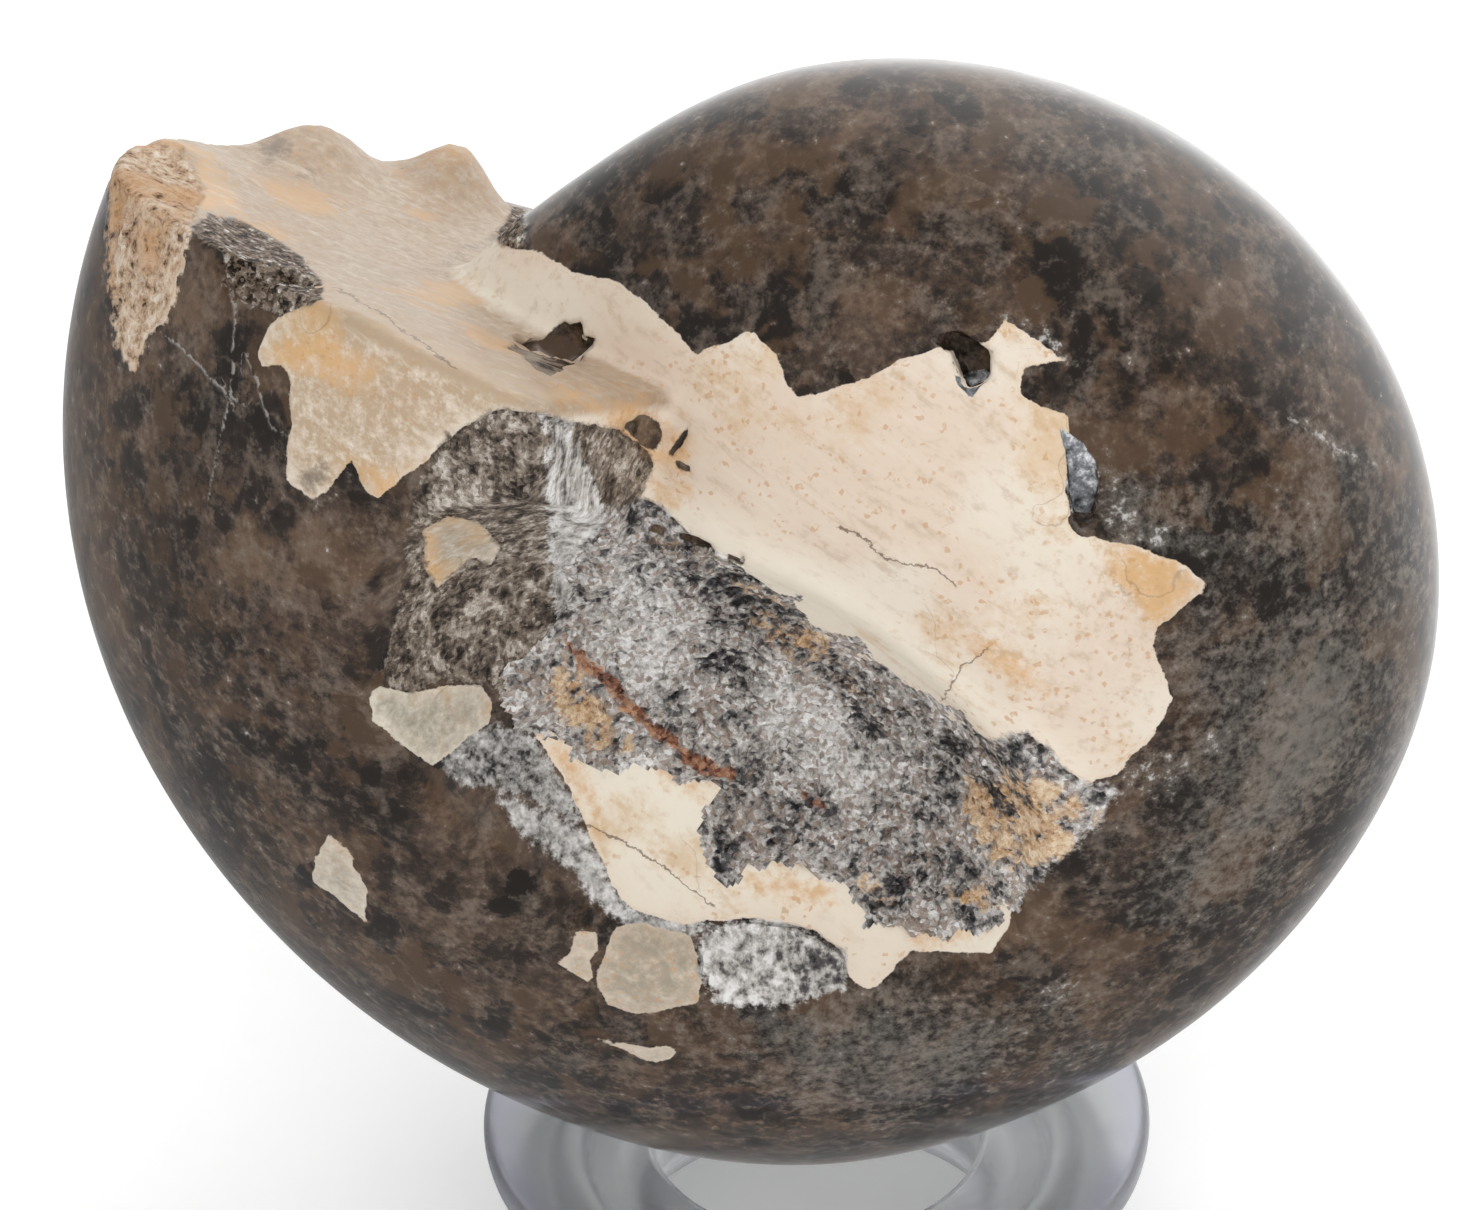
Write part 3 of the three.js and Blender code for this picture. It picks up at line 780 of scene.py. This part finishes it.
# What the finishes read: stretched places for the grain, and soft patterns of several sizes.
CHALK_GRAIN = np.array([0.84, -0.42, 0.35])
BIG_CELL = 4.6
along_grain = points - 0.86 * (points @ CHALK_GRAIN)[:, None] * CHALK_GRAIN
upright_grain = points * np.array([1, 0.14, 1])
chalky = np.minimum(inside("chalk"), 1 - np.maximum(inside("rubble"), inside("fibre")))[:, None]
drift = np.stack([clouds(points, 2.6, 250 + 5 * k, 2) for k in range(3)], 1)
points = points + lift[:, None] * normals
stone_data.vertices.foreach_set("co", (to_world(points) * MM).ravel())
stone_data.update()
for name, values in zones.items():
    set_attribute(stone_data, name, values)
set_attribute(stone_data, "lump", clump)
set_attribute(stone_data, "coil", points)
set_attribute(stone_data, "grain_place", points + 0.9 * drift)
set_attribute(stone_data, "streak_place", mix(upright_grain, along_grain, chalky) + 0.25 * drift)
for name, size, seed, layers in (
        ("smoke", 13, 201, 4), ("stain", 6, 230, 3), ("patchy", 9, 240, 2), ("level", 8, 260, 3)):
    set_attribute(stone_data, name, clouds(points, size, seed, layers))
wobble = 1.6 * clouds(points, 5, 210)[:, None]
first, second, lot = grains(points + wobble, BIG_CELL, 221)
cells = 1.7 * (lot - 0.5) * ease(0.04, 0.22, second - first)
cells += 0.5 * ease(0.14, 0.02, second - first)
set_attribute(stone_data, "mottle", 0.6 * clouds(points + wobble, 4.2, 220) + cells)
BROKEN_KINDS = ("ash", "chalk", "gravel", "rubble", "fibre", "beak", "pocket", "nick", "glassy")
BROKEN_MARGIN = 1.6
broken = np.max([zones[name] for name in BROKEN_KINDS], 0) > -BROKEN_MARGIN
for face in stone_data.polygons:
    face.use_smooth = True
    face.material_index = int(broken[list(face.vertices)].any())


class Tone:
    """A value that varies over a surface. Sums and products of tones add the nodes for them."""

    def __init__(self, socket):
        self.socket = socket

    def node(self, kind, settings=None, sockets=None, out=0):
        """Adds any node: its settings first, then the values or links of its sockets."""
        made = self.socket.id_data.nodes.new(kind)
        for name, value in (settings or {}).items():
            if name == "stops":
                ramp = made.color_ramp
                while len(ramp.elements) < len(value):
                    ramp.elements.new(0.5)
                for element, (place, colour) in zip(ramp.elements, value):
                    element.position = place
                    element.color = (*colour, 1)
            else:
                setattr(made, name, value)
        for name, value in (sockets or {}).items():
            if isinstance(value, Tone):
                self.socket.id_data.links.new(value.socket, made.inputs[name])
            else:
                made.inputs[name].default_value = value
        return Tone(made.outputs[out])

    def other(self, out):
        """Another output of the same node."""
        return Tone(self.socket.node.outputs[out])

    def work(self, operation, *others):
        values = (self, *others)
        if any(isinstance(x, Tone) and x.socket.type in ("VECTOR", "RGBA") for x in values):
            kind = "ShaderNodeVectorMath"
            values = [x if isinstance(x, (Tone, tuple)) else (x, x, x) for x in values]
        else:
            kind = "ShaderNodeMath"
        return self.node(kind, {"operation": operation}, dict(enumerate(values)))

    def __add__(self, other):
        return self.work("ADD", other)

    def __sub__(self, other):
        return self.work("SUBTRACT", other)

    def __mul__(self, other):
        return self.work("MULTIPLY", other)

    __radd__ = __add__
    __rmul__ = __mul__

    def __rsub__(self, other):
        return self * -1 + other

    def most(self, other):
        return self.work("MAXIMUM", other)

    def step(self, low, high):
        """Eases from 0 to 1 as the value goes from low to high."""
        return self.node(
            "ShaderNodeMapRange",
            {"interpolation_type": "SMOOTHSTEP"},
            {"Value": self, "From Min": low, "From Max": high},
        )

    def ramp(self, *stops):
        return self.node("ShaderNodeValToRGB", {"stops": stops}, {"Fac": self})

    def noise(self, scale, detail=2, rough=0.5, out=0):
        sockets = {"Vector": self, "Scale": scale, "Detail": detail, "Roughness": rough}
        return self.node("ShaderNodeTexNoise", {}, sockets, out)

    def cells(self, scale, out=0):
        return self.node("ShaderNodeTexVoronoi", {}, {"Vector": self, "Scale": scale}, out)

    def shade(self):
        """The first channel of a colour, as a plain value."""
        return self.node("ShaderNodeSeparateColor", {}, {"Color": self})

    def bumps(self):
        """The normals of a surface with this height, in millimetres."""
        return self.node("ShaderNodeBump", {}, {"Height": self, "Distance": MM, "Strength": 1.0})

    def tint(self, colour, share):
        """This colour, going over to another by a share."""
        if not isinstance(colour, Tone):
            colour = (*colour, 1)
        return self.node("ShaderNodeMix", {"data_type": "RGBA"}, {0: share, 6: self, 7: colour}, 2)


def new_finish(name):
    """An empty material, its shader and a tone to start from: a named value of the mesh."""
    material = bpy.data.materials.new(name)
    material.use_nodes = True
    tree = material.node_tree
    shader = next(n for n in tree.nodes if n.type == "BSDF_PRINCIPLED")

    def read(attribute, out="Fac"):
        made = tree.nodes.new("ShaderNodeAttribute")
        made.attribute_name = attribute
        return Tone(made.outputs[out])

    return material, shader, read


def connect(shader, **tones):
    for name, value in tones.items():
        socket = shader.inputs["IOR" if name == "ior" else name.replace("_", " ").title()]
        if isinstance(value, Tone):
            shader.id_data.links.new(value.socket, socket)
        else:
            socket.default_value = value


NIGHT = (0.011, 0.007, 0.005)
SMOKE = (0.028, 0.019, 0.014)
UMBER = (0.070, 0.045, 0.031)
TAWNY = (0.155, 0.105, 0.072)
AMBER = (0.125, 0.070, 0.036)
HAZE = (0.200, 0.160, 0.128)
FOG = (0.225, 0.205, 0.178)
CREAM = (0.75, 0.66, 0.55)
ROSE = (0.71, 0.585, 0.47)
IVORY = (0.785, 0.715, 0.60)
# Painted light: the paler cream that gives the shoulder and the wall band their lit look.
PAINTED_LIGHT_CREAM = (0.93, 0.86, 0.72)
BISCUIT = (0.34, 0.24, 0.155)
PEACH = (0.68, 0.41, 0.19)
TAN = (0.48, 0.355, 0.235)
RUSSET = (0.55, 0.30, 0.13)
DUST = (0.31, 0.275, 0.215)
OCHRE = (0.60, 0.36, 0.14)
RUST = (0.23, 0.072, 0.03)
PITCH = (0.013, 0.012, 0.013)
SLATE = (0.095, 0.090, 0.090)
ASHEN = (0.42, 0.395, 0.37)
FROST = (0.78, 0.765, 0.75)
DRAB = (0.24, 0.155, 0.105)
SCORCH = (0.40, 0.235, 0.15)
# Painted shade, in part: the dark brown of the face's dark patches and of the shade in the crease
# at the valley.
SHADE_AND_SMUDGE_BROWN = (0.20, 0.165, 0.13)
FISSURE = (0.15, 0.09, 0.055)

# Tones of the rough kinds of rock, from their darkest grains to their palest.
GREY_TONES = (0.36, PITCH), (0.50, SLATE), (0.66, ASHEN), (0.86, FROST)
OCHRE_TONES = (0.42, (0.06, 0.034, 0.018)), (0.62, (0.54, 0.31, 0.135)), (0.88, (0.78, 0.60, 0.40))
RUST_TONES = (0.44, (0.05, 0.018, 0.01)), (0.62, RUST), (0.86, (0.52, 0.27, 0.14))
SMOKY_TONES = (0.20, NIGHT), (0.40, SMOKE), (0.60, UMBER), (0.88, TAWNY)
CHALK_TONES = (0.0, IVORY), (0.5, CREAM), (1.0, ROSE)
RUBBLE_TONES = (
    (0.52, NIGHT), (0.66, (0.085, 0.062, 0.046)), (0.80, (0.25, 0.20, 0.155)),
    (1.02, (0.60, 0.54, 0.48)))
FIBRE_TONES = (0.49, PITCH), (0.63, SLATE), (0.75, ASHEN), (0.92, FROST)
ASH_TONES = (0.26, PITCH), (0.38, (0.22, 0.212, 0.20)), (0.68, FROST)
BEAK_TONES = (
    (0.58, (0.04, 0.024, 0.016)), (0.68, (0.38, 0.24, 0.14)), (0.82, (0.60, 0.44, 0.31)),
    (1.08, CREAM))
POCKET_TONES = (
    (0.46, NIGHT), (0.60, (0.13, 0.092, 0.064)), (0.76, (0.30, 0.24, 0.19)), (0.95, FROST))
GLASS_TONES = (
    (0.36, (0.03, 0.033, 0.037)), (0.56, (0.24, 0.25, 0.265)), (0.72, (0.80, 0.80, 0.82)))


def smoky_calcite(read, powder):
    """A mosaic of smoky grains, each of its own brown and paler where they meet, with pale haze."""
    grain = read("grain_place", "Vector").cells(0.42)
    own = (grain.other("Color").shade() - 0.5) * (0.85 - grain).step(0, 0.45)
    smoke, mottle, patchy = read("smoke"), read("mottle"), read("patchy")
    tone = own * 0.42 + grain * 0.26 + smoke * 0.22 + mottle * 0.17 + powder * 0.85 - 0.135
    dark = tone.ramp(*SMOKY_TONES)
    dark = dark.tint(AMBER, (mottle + powder * 1.4 - own).step(0.7, 1.5) * 0.5)
    dark = dark.tint(HAZE, (grain + powder * 1.6).step(1.25, 1.9) * 0.42)
    milk = read("milk") * 0.52 + read("glint") * 0.3
    dark = dark.tint(FOG, (milk + powder * 1.4 + patchy * 0.1).step(0.75, 1.45) * 0.62)
    dark = dark.tint(FROST, (powder + read("glint") * 0.13).step(0.66, 0.84) * 0.5)
    vein = (0.16 - (read("vein") + powder * 0.8 - 0.4).work("ABSOLUTE")).step(0, 0.16)
    vein = vein * (0.9 - read("vein_reach")).step(0, 0.5)
    return dark.tint(ASHEN, vein * powder.step(0.40, 0.60) * 0.7)


def loose_crystal(read, salt, powder):
    """Every grain has its own grey, from pitch to frost, with ochre stains and a seam of rust."""
    light = salt * 0.24 + powder * 0.66 + read("lump") * 0.46 + 0.21
    region = read("coil", "Vector").noise(0.4, 1) - 0.5
    light = light + region * 0.35 + read("frost") * 0.17 - read("pitch") * 0.08
    tone = light.ramp(*GREY_TONES)
    tone = tone.tint(DRAB, (salt.other(1) + read("lump") + region).step(0.45, 1.1) * 0.7)
    ochre = read("ochre") + powder + read("lump") * 1.3 - 0.9
    tone = tone.tint(light.ramp(*OCHRE_TONES), ochre.step(0.26, 0.80) * 0.85)
    seam = read("seam") + powder * 1.8 - 0.9
    return tone.tint(light.ramp(*RUST_TONES), seam.step(0.45, 0.95) * 0.9)


POLISH, POLISH_VARIES = 0.17, 0.06
CALCITE_IOR = 1.6
polished, shader, read = new_finish("polished_calcite")
powder = read("coil", "Vector").noise(1.25, 3, 0.72)
gloss = read("mottle") * POLISH_VARIES + POLISH
connect(shader, base_color=smoky_calcite(read, powder), roughness=gloss, ior=CALCITE_IOR)
stone_data.materials.append(polished)

rock, shader, read = new_finish("broken_calcite")
coil = read("coil", "Vector")
stain, patchy, level = read("stain"), read("patchy"), read("level")
powder = coil.noise(1.25, 3, 0.72)
streak = read("streak_place", "Vector").noise(1.1, 3, 0.65)
salt = coil.cells(3.4, out=1).shade()
edge = powder - 0.5
dark = smoky_calcite(read, powder)

# Chalky matrix: cream, ivory and rose, with fine tan threads, russet specks and hair cracks.
chalk = (patchy + 0.5 + edge * 0.6).ramp(*CHALK_TONES)
chalk = chalk.tint(BISCUIT, read("face").step(-0.6, 0.3) * (powder * 0.9 + 0.40))
blotch = read("face").step(-0.6, 0.3) * (stain * 0.5 + powder).step(0.45, 1.0)
chalk = chalk.tint(SCORCH, blotch * 0.4)
chalk = chalk.tint(TAN, read("tanned") * (powder * 3 - 0.7))
chalk = chalk.tint(DUST, read("dusty") * (powder * 1.8 - 0.2))
# Painted light: the shoulder and the wall band above the crystals are made paler, with fewer tan
# streaks, to look lit.
chalk = chalk.tint(PAINTED_LIGHT_CREAM, read("paled") * 0.42)
chalk = chalk.tint(PEACH, (read("warmed") * 0.6 + powder + stain * 0.15).step(0.72, 1.3) * 0.85)
chalk = chalk.tint(TAN, (streak + edge * 0.5).step(0.50, 0.76) * (0.5 - read("paled") * 0.35))
chalk = chalk.tint(IVORY, streak.step(0.46, 0.30) * 0.25)
chalk = chalk.tint(OCHRE, (stain + streak * 0.8 + edge).step(0.6, 1.4) * 0.5)
specks = (salt + edge * 0.3).step(0.92, 0.98) * (stain + patchy).step(-0.2, 0.7)
chalk = chalk.tint(RUSSET, specks * 0.6)
# Painted shade, in part: dark brown over the dark patches of the face, one of them the shade in the
# crease at the valley.
chalk = chalk.tint(SHADE_AND_SMUDGE_BROWN, (read("smudge") * 0.6 + powder).step(0.75, 1.3) * 0.9)
hair = (0.03 - (level + edge * 0.05).work("ABSOLUTE")).step(0.02, 0.03) * stain.step(0.2, 0.5)
crack = (0.10 - (read("crack") + edge * 0.9).work("ABSOLUTE")).step(0, 0.08)
crack = crack * (0.7 - read("crack_reach")).step(0, 0.4)
chalk = chalk.tint(FISSURE, (crack * 0.8).most(hair * 0.35))

gravel = loose_crystal(read, salt, powder)
rubble = salt * 0.20 + powder * 0.60 + streak * 0.50 + read("lump") * 0.30 + 0.10
rubble = rubble.ramp(*RUBBLE_TONES)
fibre = (streak + powder * 0.6 - read("pitch") * 0.12).ramp(*FIBRE_TONES)
ash = powder * 0.85 + salt * 0.12 + read("frost") * 0.10 - read("pitch") * 0.10
ash = ash.ramp(*ASH_TONES)
beak = (powder * 1.1 + streak * 0.5).ramp(*BEAK_TONES)
beak = beak.tint(RUSSET, (stain + powder).step(0.5, 1.1) * 0.7)
pocket = (salt * 0.30 + powder * 0.95).ramp(*POCKET_TONES)
glass = (powder + read("mottle") * 0.12).ramp(*GLASS_TONES)

# Each kind of rock lies over the ones before it: its layer, how soft and how uneven its edge is
# in millimetres, and its roughness.
colour = dark
gloss = read("mottle") * POLISH_VARIES + POLISH
for name, layer, soft, uneven, shine in (
        ("ash", ash, 0.9, 2.4, 0.4), ("chalk", chalk, 0.10, 0.5, 0.48),
        ("gravel", gravel, 0.6, 2.0, 0.6), ("rubble", rubble, 0.6, 2.0, 0.5),
        ("fibre", fibre, 0.6, 2.2, 0.5), ("beak", beak, 0.4, 1.6, 0.8),
        ("pocket", pocket, 0.25, 0.5, 0.8), ("nick", dark, 0.12, 0.4, 0.15),
        ("glassy", glass, 0.12, 0.4, 0.08)):
    mask = (read(name) + edge * uneven).step(-soft / 2, soft / 2)
    if name == "ash":
        mask = mask * 0.9
    colour = colour.tint(layer, mask)
    gloss = gloss + mask * (shine - gloss)
loose = read("gravel").most(read("rubble")).most(read("pocket")).most(read("beak"))
bump = loose.step(-0.3, 0.3) * powder * 0.6 + read("fibre").step(-0.3, 0.3) * streak * 0.4
connect(
    shader, base_color=colour, roughness=gloss, ior=CALCITE_IOR, normal=bump.bumps())
stone_data.materials.append(rock)

ammonite = put("ammonite_stone", stone_data)
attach(ammonite, "root")
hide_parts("ammonite")


# The crusts: a rough crust of small calcite crystals, grey and white with ochre stains, grown on
# the floor of the hollow in each flank. Both are part of the rock and were left unpolished.
CRUST_EDGE = 0.93
CRUST_STEP = 0.24
CRUST_LIFT = 0.06
CRUST_DEPTH = 0.6
CRUST_BASE = 0.45
CRUST_THINNEST = 0.02
CRUST_FADE = 2.2
CRUST_BUMP = 0.45
SWELL_HEIGHT, SWELL_SIZE = 0.6, 6
# The rim wanders by so many pixels on the near flank and on the far one. It ends where the rock
# a little below the floor is thinner than this.
RIM_WANDER = {1: 6, -1: 30}
PROBE_DEPTH, THIN_ROCK = 1.5, 0.7
# Crystals of three sizes: the size, how far their rows wobble, their height, the groove between
# two of them, and how much each counts in the colour.
CRYSTALS = [
    (2.1, 0.4, 0.55, (0.04, 0.35), 0.35),
    (1.05, 0, 0.50, (0.03, 0.3), 0.4),
    (0.55, 0, 0.36, (0.02, 0.3), 0.45),
]


def crust_data(name, side):
    """A closed sheet of crystals over the hollow of one flank."""
    reach_x = np.arange(-BOWL_LONG, BOWL_LONG + 0.01, CRUST_STEP)
    reach_y = np.arange(-BOWL_SHORT, BOWL_SHORT + 0.01, CRUST_STEP)
    x, y = (g.ravel() for g in np.meshgrid(reach_x, reach_y, indexing="ij"))
    u = BOWL_CENTRE[0] + x * math.cos(BOWL_TURN) - y * math.sin(BOWL_TURN)
    v = BOWL_CENTRE[1] + x * math.sin(BOWL_TURN) + y * math.cos(BOWL_TURN)
    share = np.hypot(x / BOWL_LONG, y / BOWL_SHORT)
    flat = np.stack([u, v, np.full(len(u), 9.0 * side)], 1)
    bed = bowl_height(u, v)
    place = np.stack([u, v, bed], 1) * np.array([1, 1, side])
    seen = picture_place(to_world(np.stack([u, v, bed], 1)))
    seen += RIM_WANDER[side] * np.stack([clouds(flat, 7, 80), clouds(flat, 7, 85)], 1)
    ragged = 0.9 * clouds(flat, 3, 90) + 0.5 * clouds(flat, 0.8, 93)
    rim = np.minimum((CRUST_EDGE - share) * BOWL_SHORT, inside_depth(seen, GRAVEL) + 0.8) + ragged
    rock = -stone_field(np.stack([u, v, side * (bed - PROBE_DEPTH)], 1))
    rim = np.minimum(rim, 4 * (rock - THIN_ROCK))
    wave = clouds(place, 1.1, 96)[:, None]
    height, lump = CRUST_BASE, 0
    for k, (size, wobble, tall, groove, weight) in enumerate(CRYSTALS):
        first, second, lot = grains(place + wobble * wave, size, 101 + 10 * k)
        height = height + tall * lot * ease(*groove, second - first)
        lump = lump + weight * lot
    height = height + SWELL_HEIGHT * clouds(place, SWELL_SIZE, 131)
    lump = lump - 0.6
    fade = ease(0, CRUST_FADE, rim)
    top = bed + CRUST_LIFT + np.maximum(fade * height, CRUST_THINNEST)
    under = bed - CRUST_DEPTH
    keep = (rim > 0).reshape(len(reach_x), len(reach_y))
    cell = keep[:-1, :-1] & keep[1:, :-1] & keep[1:, 1:] & keep[:-1, 1:]
    rows, columns = len(reach_x), len(reach_y)
    number = np.arange(rows * columns).reshape(rows, columns)
    quads = np.stack([number[:-1, :-1], number[1:, :-1], number[1:, 1:], number[:-1, 1:]], -1)[cell]
    borders = {}
    for quad in quads:
        for a, b in zip(quad, np.roll(quad, -1)):
            if (b, a) in borders:
                del borders[(b, a)]
            else:
                borders[(a, b)] = True
    count = rows * columns
    walls = np.array([(b, a, a + count, b + count) for a, b in borders])
    faces = np.concatenate([quads, quads[:, ::-1] + count, walls])
    used, faces = np.unique(faces, return_inverse=True)
    faces = faces.reshape(-1, 4)
    points = np.concatenate([np.stack([u, v, top], 1), np.stack([u, v, under], 1)])[used]
    points[:, 2] *= side
    if side < 0:
        faces = faces[:, ::-1]
    data = mesh_from(name, to_world(points) * MM, faces)
    shades = crystal_shades(seen + unevenness(flat)) | {"lump": lump}
    for shade, values in shades.items():
        set_attribute(data, shade, np.concatenate([values, values])[used])
    set_attribute(data, "coil", points)
    return data


crust_finish, shader, read = new_finish("crystal_crust")
coil = read("coil", "Vector")
powder = coil.noise(1.6, 3, 0.74)
salt = coil.cells(3.0, out=1).shade()
crystals = loose_crystal(read, salt, powder)
normal = (powder * CRUST_BUMP).bumps()
connect(shader, base_color=crystals, roughness=powder * 0.5 + 0.2, normal=normal)

for name, side in (("umbilical_crust_front", 1), ("umbilical_crust_back", -1)):
    data = crust_data("crystals_" + name.split("_")[-1], side)
    data.materials.append(crust_finish)
    crust = put(data.name, data)
    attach(crust, "root")
    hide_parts(name)


# The ring: one moulding of clear plastic, a wide shallow dish on a narrow waist and a wide foot,
# open through the middle. The stone only rests in the dish.
RIM_RADIUS = 24
RING_HEIGHT = 14
DISH_DEPTH = 2.2
THROAT_RADIUS = 12
WAIST_RADIUS = 17
FOOT_RADIUS = 22.5
FOOT_BORE = 14.5
LIP = 0.8
RING_SIDES = 160
BEND_STEPS = 14
CLEARNESS = 0.9
PLASTIC_IOR = 1.49


def bend(start, pull, end):
    """Points of a soft bend after its start, drawn towards one point."""
    t = (np.arange(BEND_STEPS) + 1)[:, None] / BEND_STEPS
    start, pull, end = (np.array(p, float) for p in (start, pull, end))
    return ((1 - t) ** 2 * start + 2 * t * (1 - t) * pull + t * t * end).tolist()


waist = (WAIST_RADIUS, RING_HEIGHT / 2)
outline = [[FOOT_BORE, 0], [FOOT_RADIUS, 0], [FOOT_RADIUS + LIP / 2, LIP]]
outline += bend(outline[-1], (WAIST_RADIUS, LIP * 3), waist)
outline += bend(waist, (WAIST_RADIUS, RING_HEIGHT - LIP * 3), (RIM_RADIUS, RING_HEIGHT - LIP * 2))
outline += bend(outline[-1], (RIM_RADIUS + LIP / 2, RING_HEIGHT), (RIM_RADIUS - LIP, RING_HEIGHT))
outline += bend(outline[-1], (THROAT_RADIUS + LIP * 5, RING_HEIGHT - LIP),
                (THROAT_RADIUS, RING_HEIGHT - DISH_DEPTH))
outline += bend(outline[-1], (THROAT_RADIUS - LIP, RING_HEIGHT / 2), (FOOT_BORE, 0))[:-1]
outline = np.array(outline)
turns = np.linspace(0, 2 * math.pi, RING_SIDES, endpoint=False)
ring_points = np.stack([
    RING_AXIS[0] + np.outer(np.cos(turns), outline[:, 0]),
    RING_AXIS[1] + np.outer(np.sin(turns), outline[:, 0]),
    np.tile(outline[:, 1], (RING_SIDES, 1)),
], -1).reshape(-1, 3)
ring_faces = []
for i in range(RING_SIDES):
    for j in range(len(outline)):
        a, b = i * len(outline), (i + 1) % RING_SIDES * len(outline)
        k = (j + 1) % len(outline)
        ring_faces.append((a + j, b + j, b + k, a + k))
ring_data = mesh_from("clear_ring", ring_points * MM, np.array(ring_faces))
for face in ring_data.polygons:
    face.use_smooth = True
set_attribute(ring_data, "from_axis", ease(RIM_RADIUS - 3.5, RIM_RADIUS - 1, np.hypot(
    *(ring_points[:, :2] - RING_AXIS[:2]).T)) - 0.75)
ring_finish, shader, read = new_finish("clear_plastic")
place = Tone(shader.id_data.nodes.new("ShaderNodeTexCoord").outputs["Object"])
scuff = (place * 1000).noise(0.5, 3, 0.6)
from_axis = read("from_axis")
plastic = (from_axis + scuff * 1.5).ramp((0.0, (0.60, 0.62, 0.62)), (1.0, (0.61, 0.61, 0.69)))
connect(
    shader, base_color=plastic, roughness=scuff * 0.2 + 0.12,
    transmission_weight=CLEARNESS, ior=PLASTIC_IOR)
ring_data.materials.append(ring_finish)
clear_ring = put("clear_ring", ring_data)
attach(clear_ring, "root")
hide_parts("ring_stand")


# The studio: a pale sweep of paper that runs under the ring and up behind it, lit from all round
# by soft white light.
SWEEP_LEFT, SWEEP_RIGHT = -1.6, 1.6
PAPER_GLOW = 0.18
BEND = 0.5
SWEEP = [(-1.6, 0)] + [(y, 0) for y in np.linspace(-1.2, BEND, 12)]
SWEEP += [(BEND * (1 + math.sin(a)), BEND * (1 - math.cos(a)))
          for a in np.linspace(0.1, math.pi / 2, 16)]
SWEEP += [(2 * BEND, z) for z in np.linspace(0.7, 2.2, 6)]
sweep_points = [(x, y, z) for y, z in SWEEP for x in (SWEEP_LEFT, SWEEP_RIGHT)]
sweep_faces = [(2 * i, 2 * i + 1, 2 * i + 3, 2 * i + 2) for i in range(len(SWEEP) - 1)]
sweep_data = mesh_from("paper_sweep", np.array(sweep_points), np.array(sweep_faces))
for face in sweep_data.polygons:
    face.use_smooth = True
paper_finish, shader, read = new_finish("white_paper")
place = Tone(shader.id_data.nodes.new("ShaderNodeTexCoord").outputs["Object"])
tooth = place.noise(400, 2)
paper = tooth.ramp((0.3, (0.93, 0.93, 0.93)), (0.7, (0.95, 0.95, 0.95)))
connect(
    shader, base_color=paper, roughness=0.9,
    emission_color=(1, 1, 1, 1), emission_strength=PAPER_GLOW)
sweep_data.materials.append(paper_finish)
sweep = put("paper_sweep", sweep_data)
sweep.visible_glossy = False

# The room is dim, and brighter behind the stone and to the right.
ROOM = 0.27
WINDOW = 1.5
WINDOW_SIDE = Vector((0.5, 0.8, 0.33)).normalized()
world = bpy.data.worlds.new("studio")
world.use_nodes = True
background = world.node_tree.nodes["Background"]
heading = Tone(world.node_tree.nodes.new("ShaderNodeTexCoord").outputs["Generated"])
toward_window = heading.node(
    "ShaderNodeVectorMath", {"operation": "DOT_PRODUCT"}, {0: heading, 1: WINDOW_SIDE}, 1)
strength = toward_window.step(0.15, 0.95) * WINDOW + ROOM
connect(background, strength=strength, color=(1, 1, 1, 1))
bpy.context.scene.world = world
bpy.context.scene.view_settings.view_transform = "Standard"

# Each lamp's name, place, aim, size and watts.
LAMPS = [
    ("lamp_front", (0.15, -1.0, 0.85), (0, 0, 0.05), 1.2, 9.6),
    ("lamp_left", (-0.8, -0.3, 0.6), (0, 0, 0.05), 1.0, 1.5),
    ("lamp_top", (0.0, 0.2, 1.2), (0, 0, 0.05), 1.2, 3.4),
]
for name, place, target, size, power in LAMPS:
    light = bpy.data.lights.new(name, "AREA")
    light.shape = "SQUARE"
    light.size = size
    light.energy = power
    lamp = put(name, light)
    lamp.location = place
    lamp.visible_glossy = False
    lamp.rotation_euler = (Vector(target) - Vector(place)).to_track_quat("-Z", "Y").to_euler()
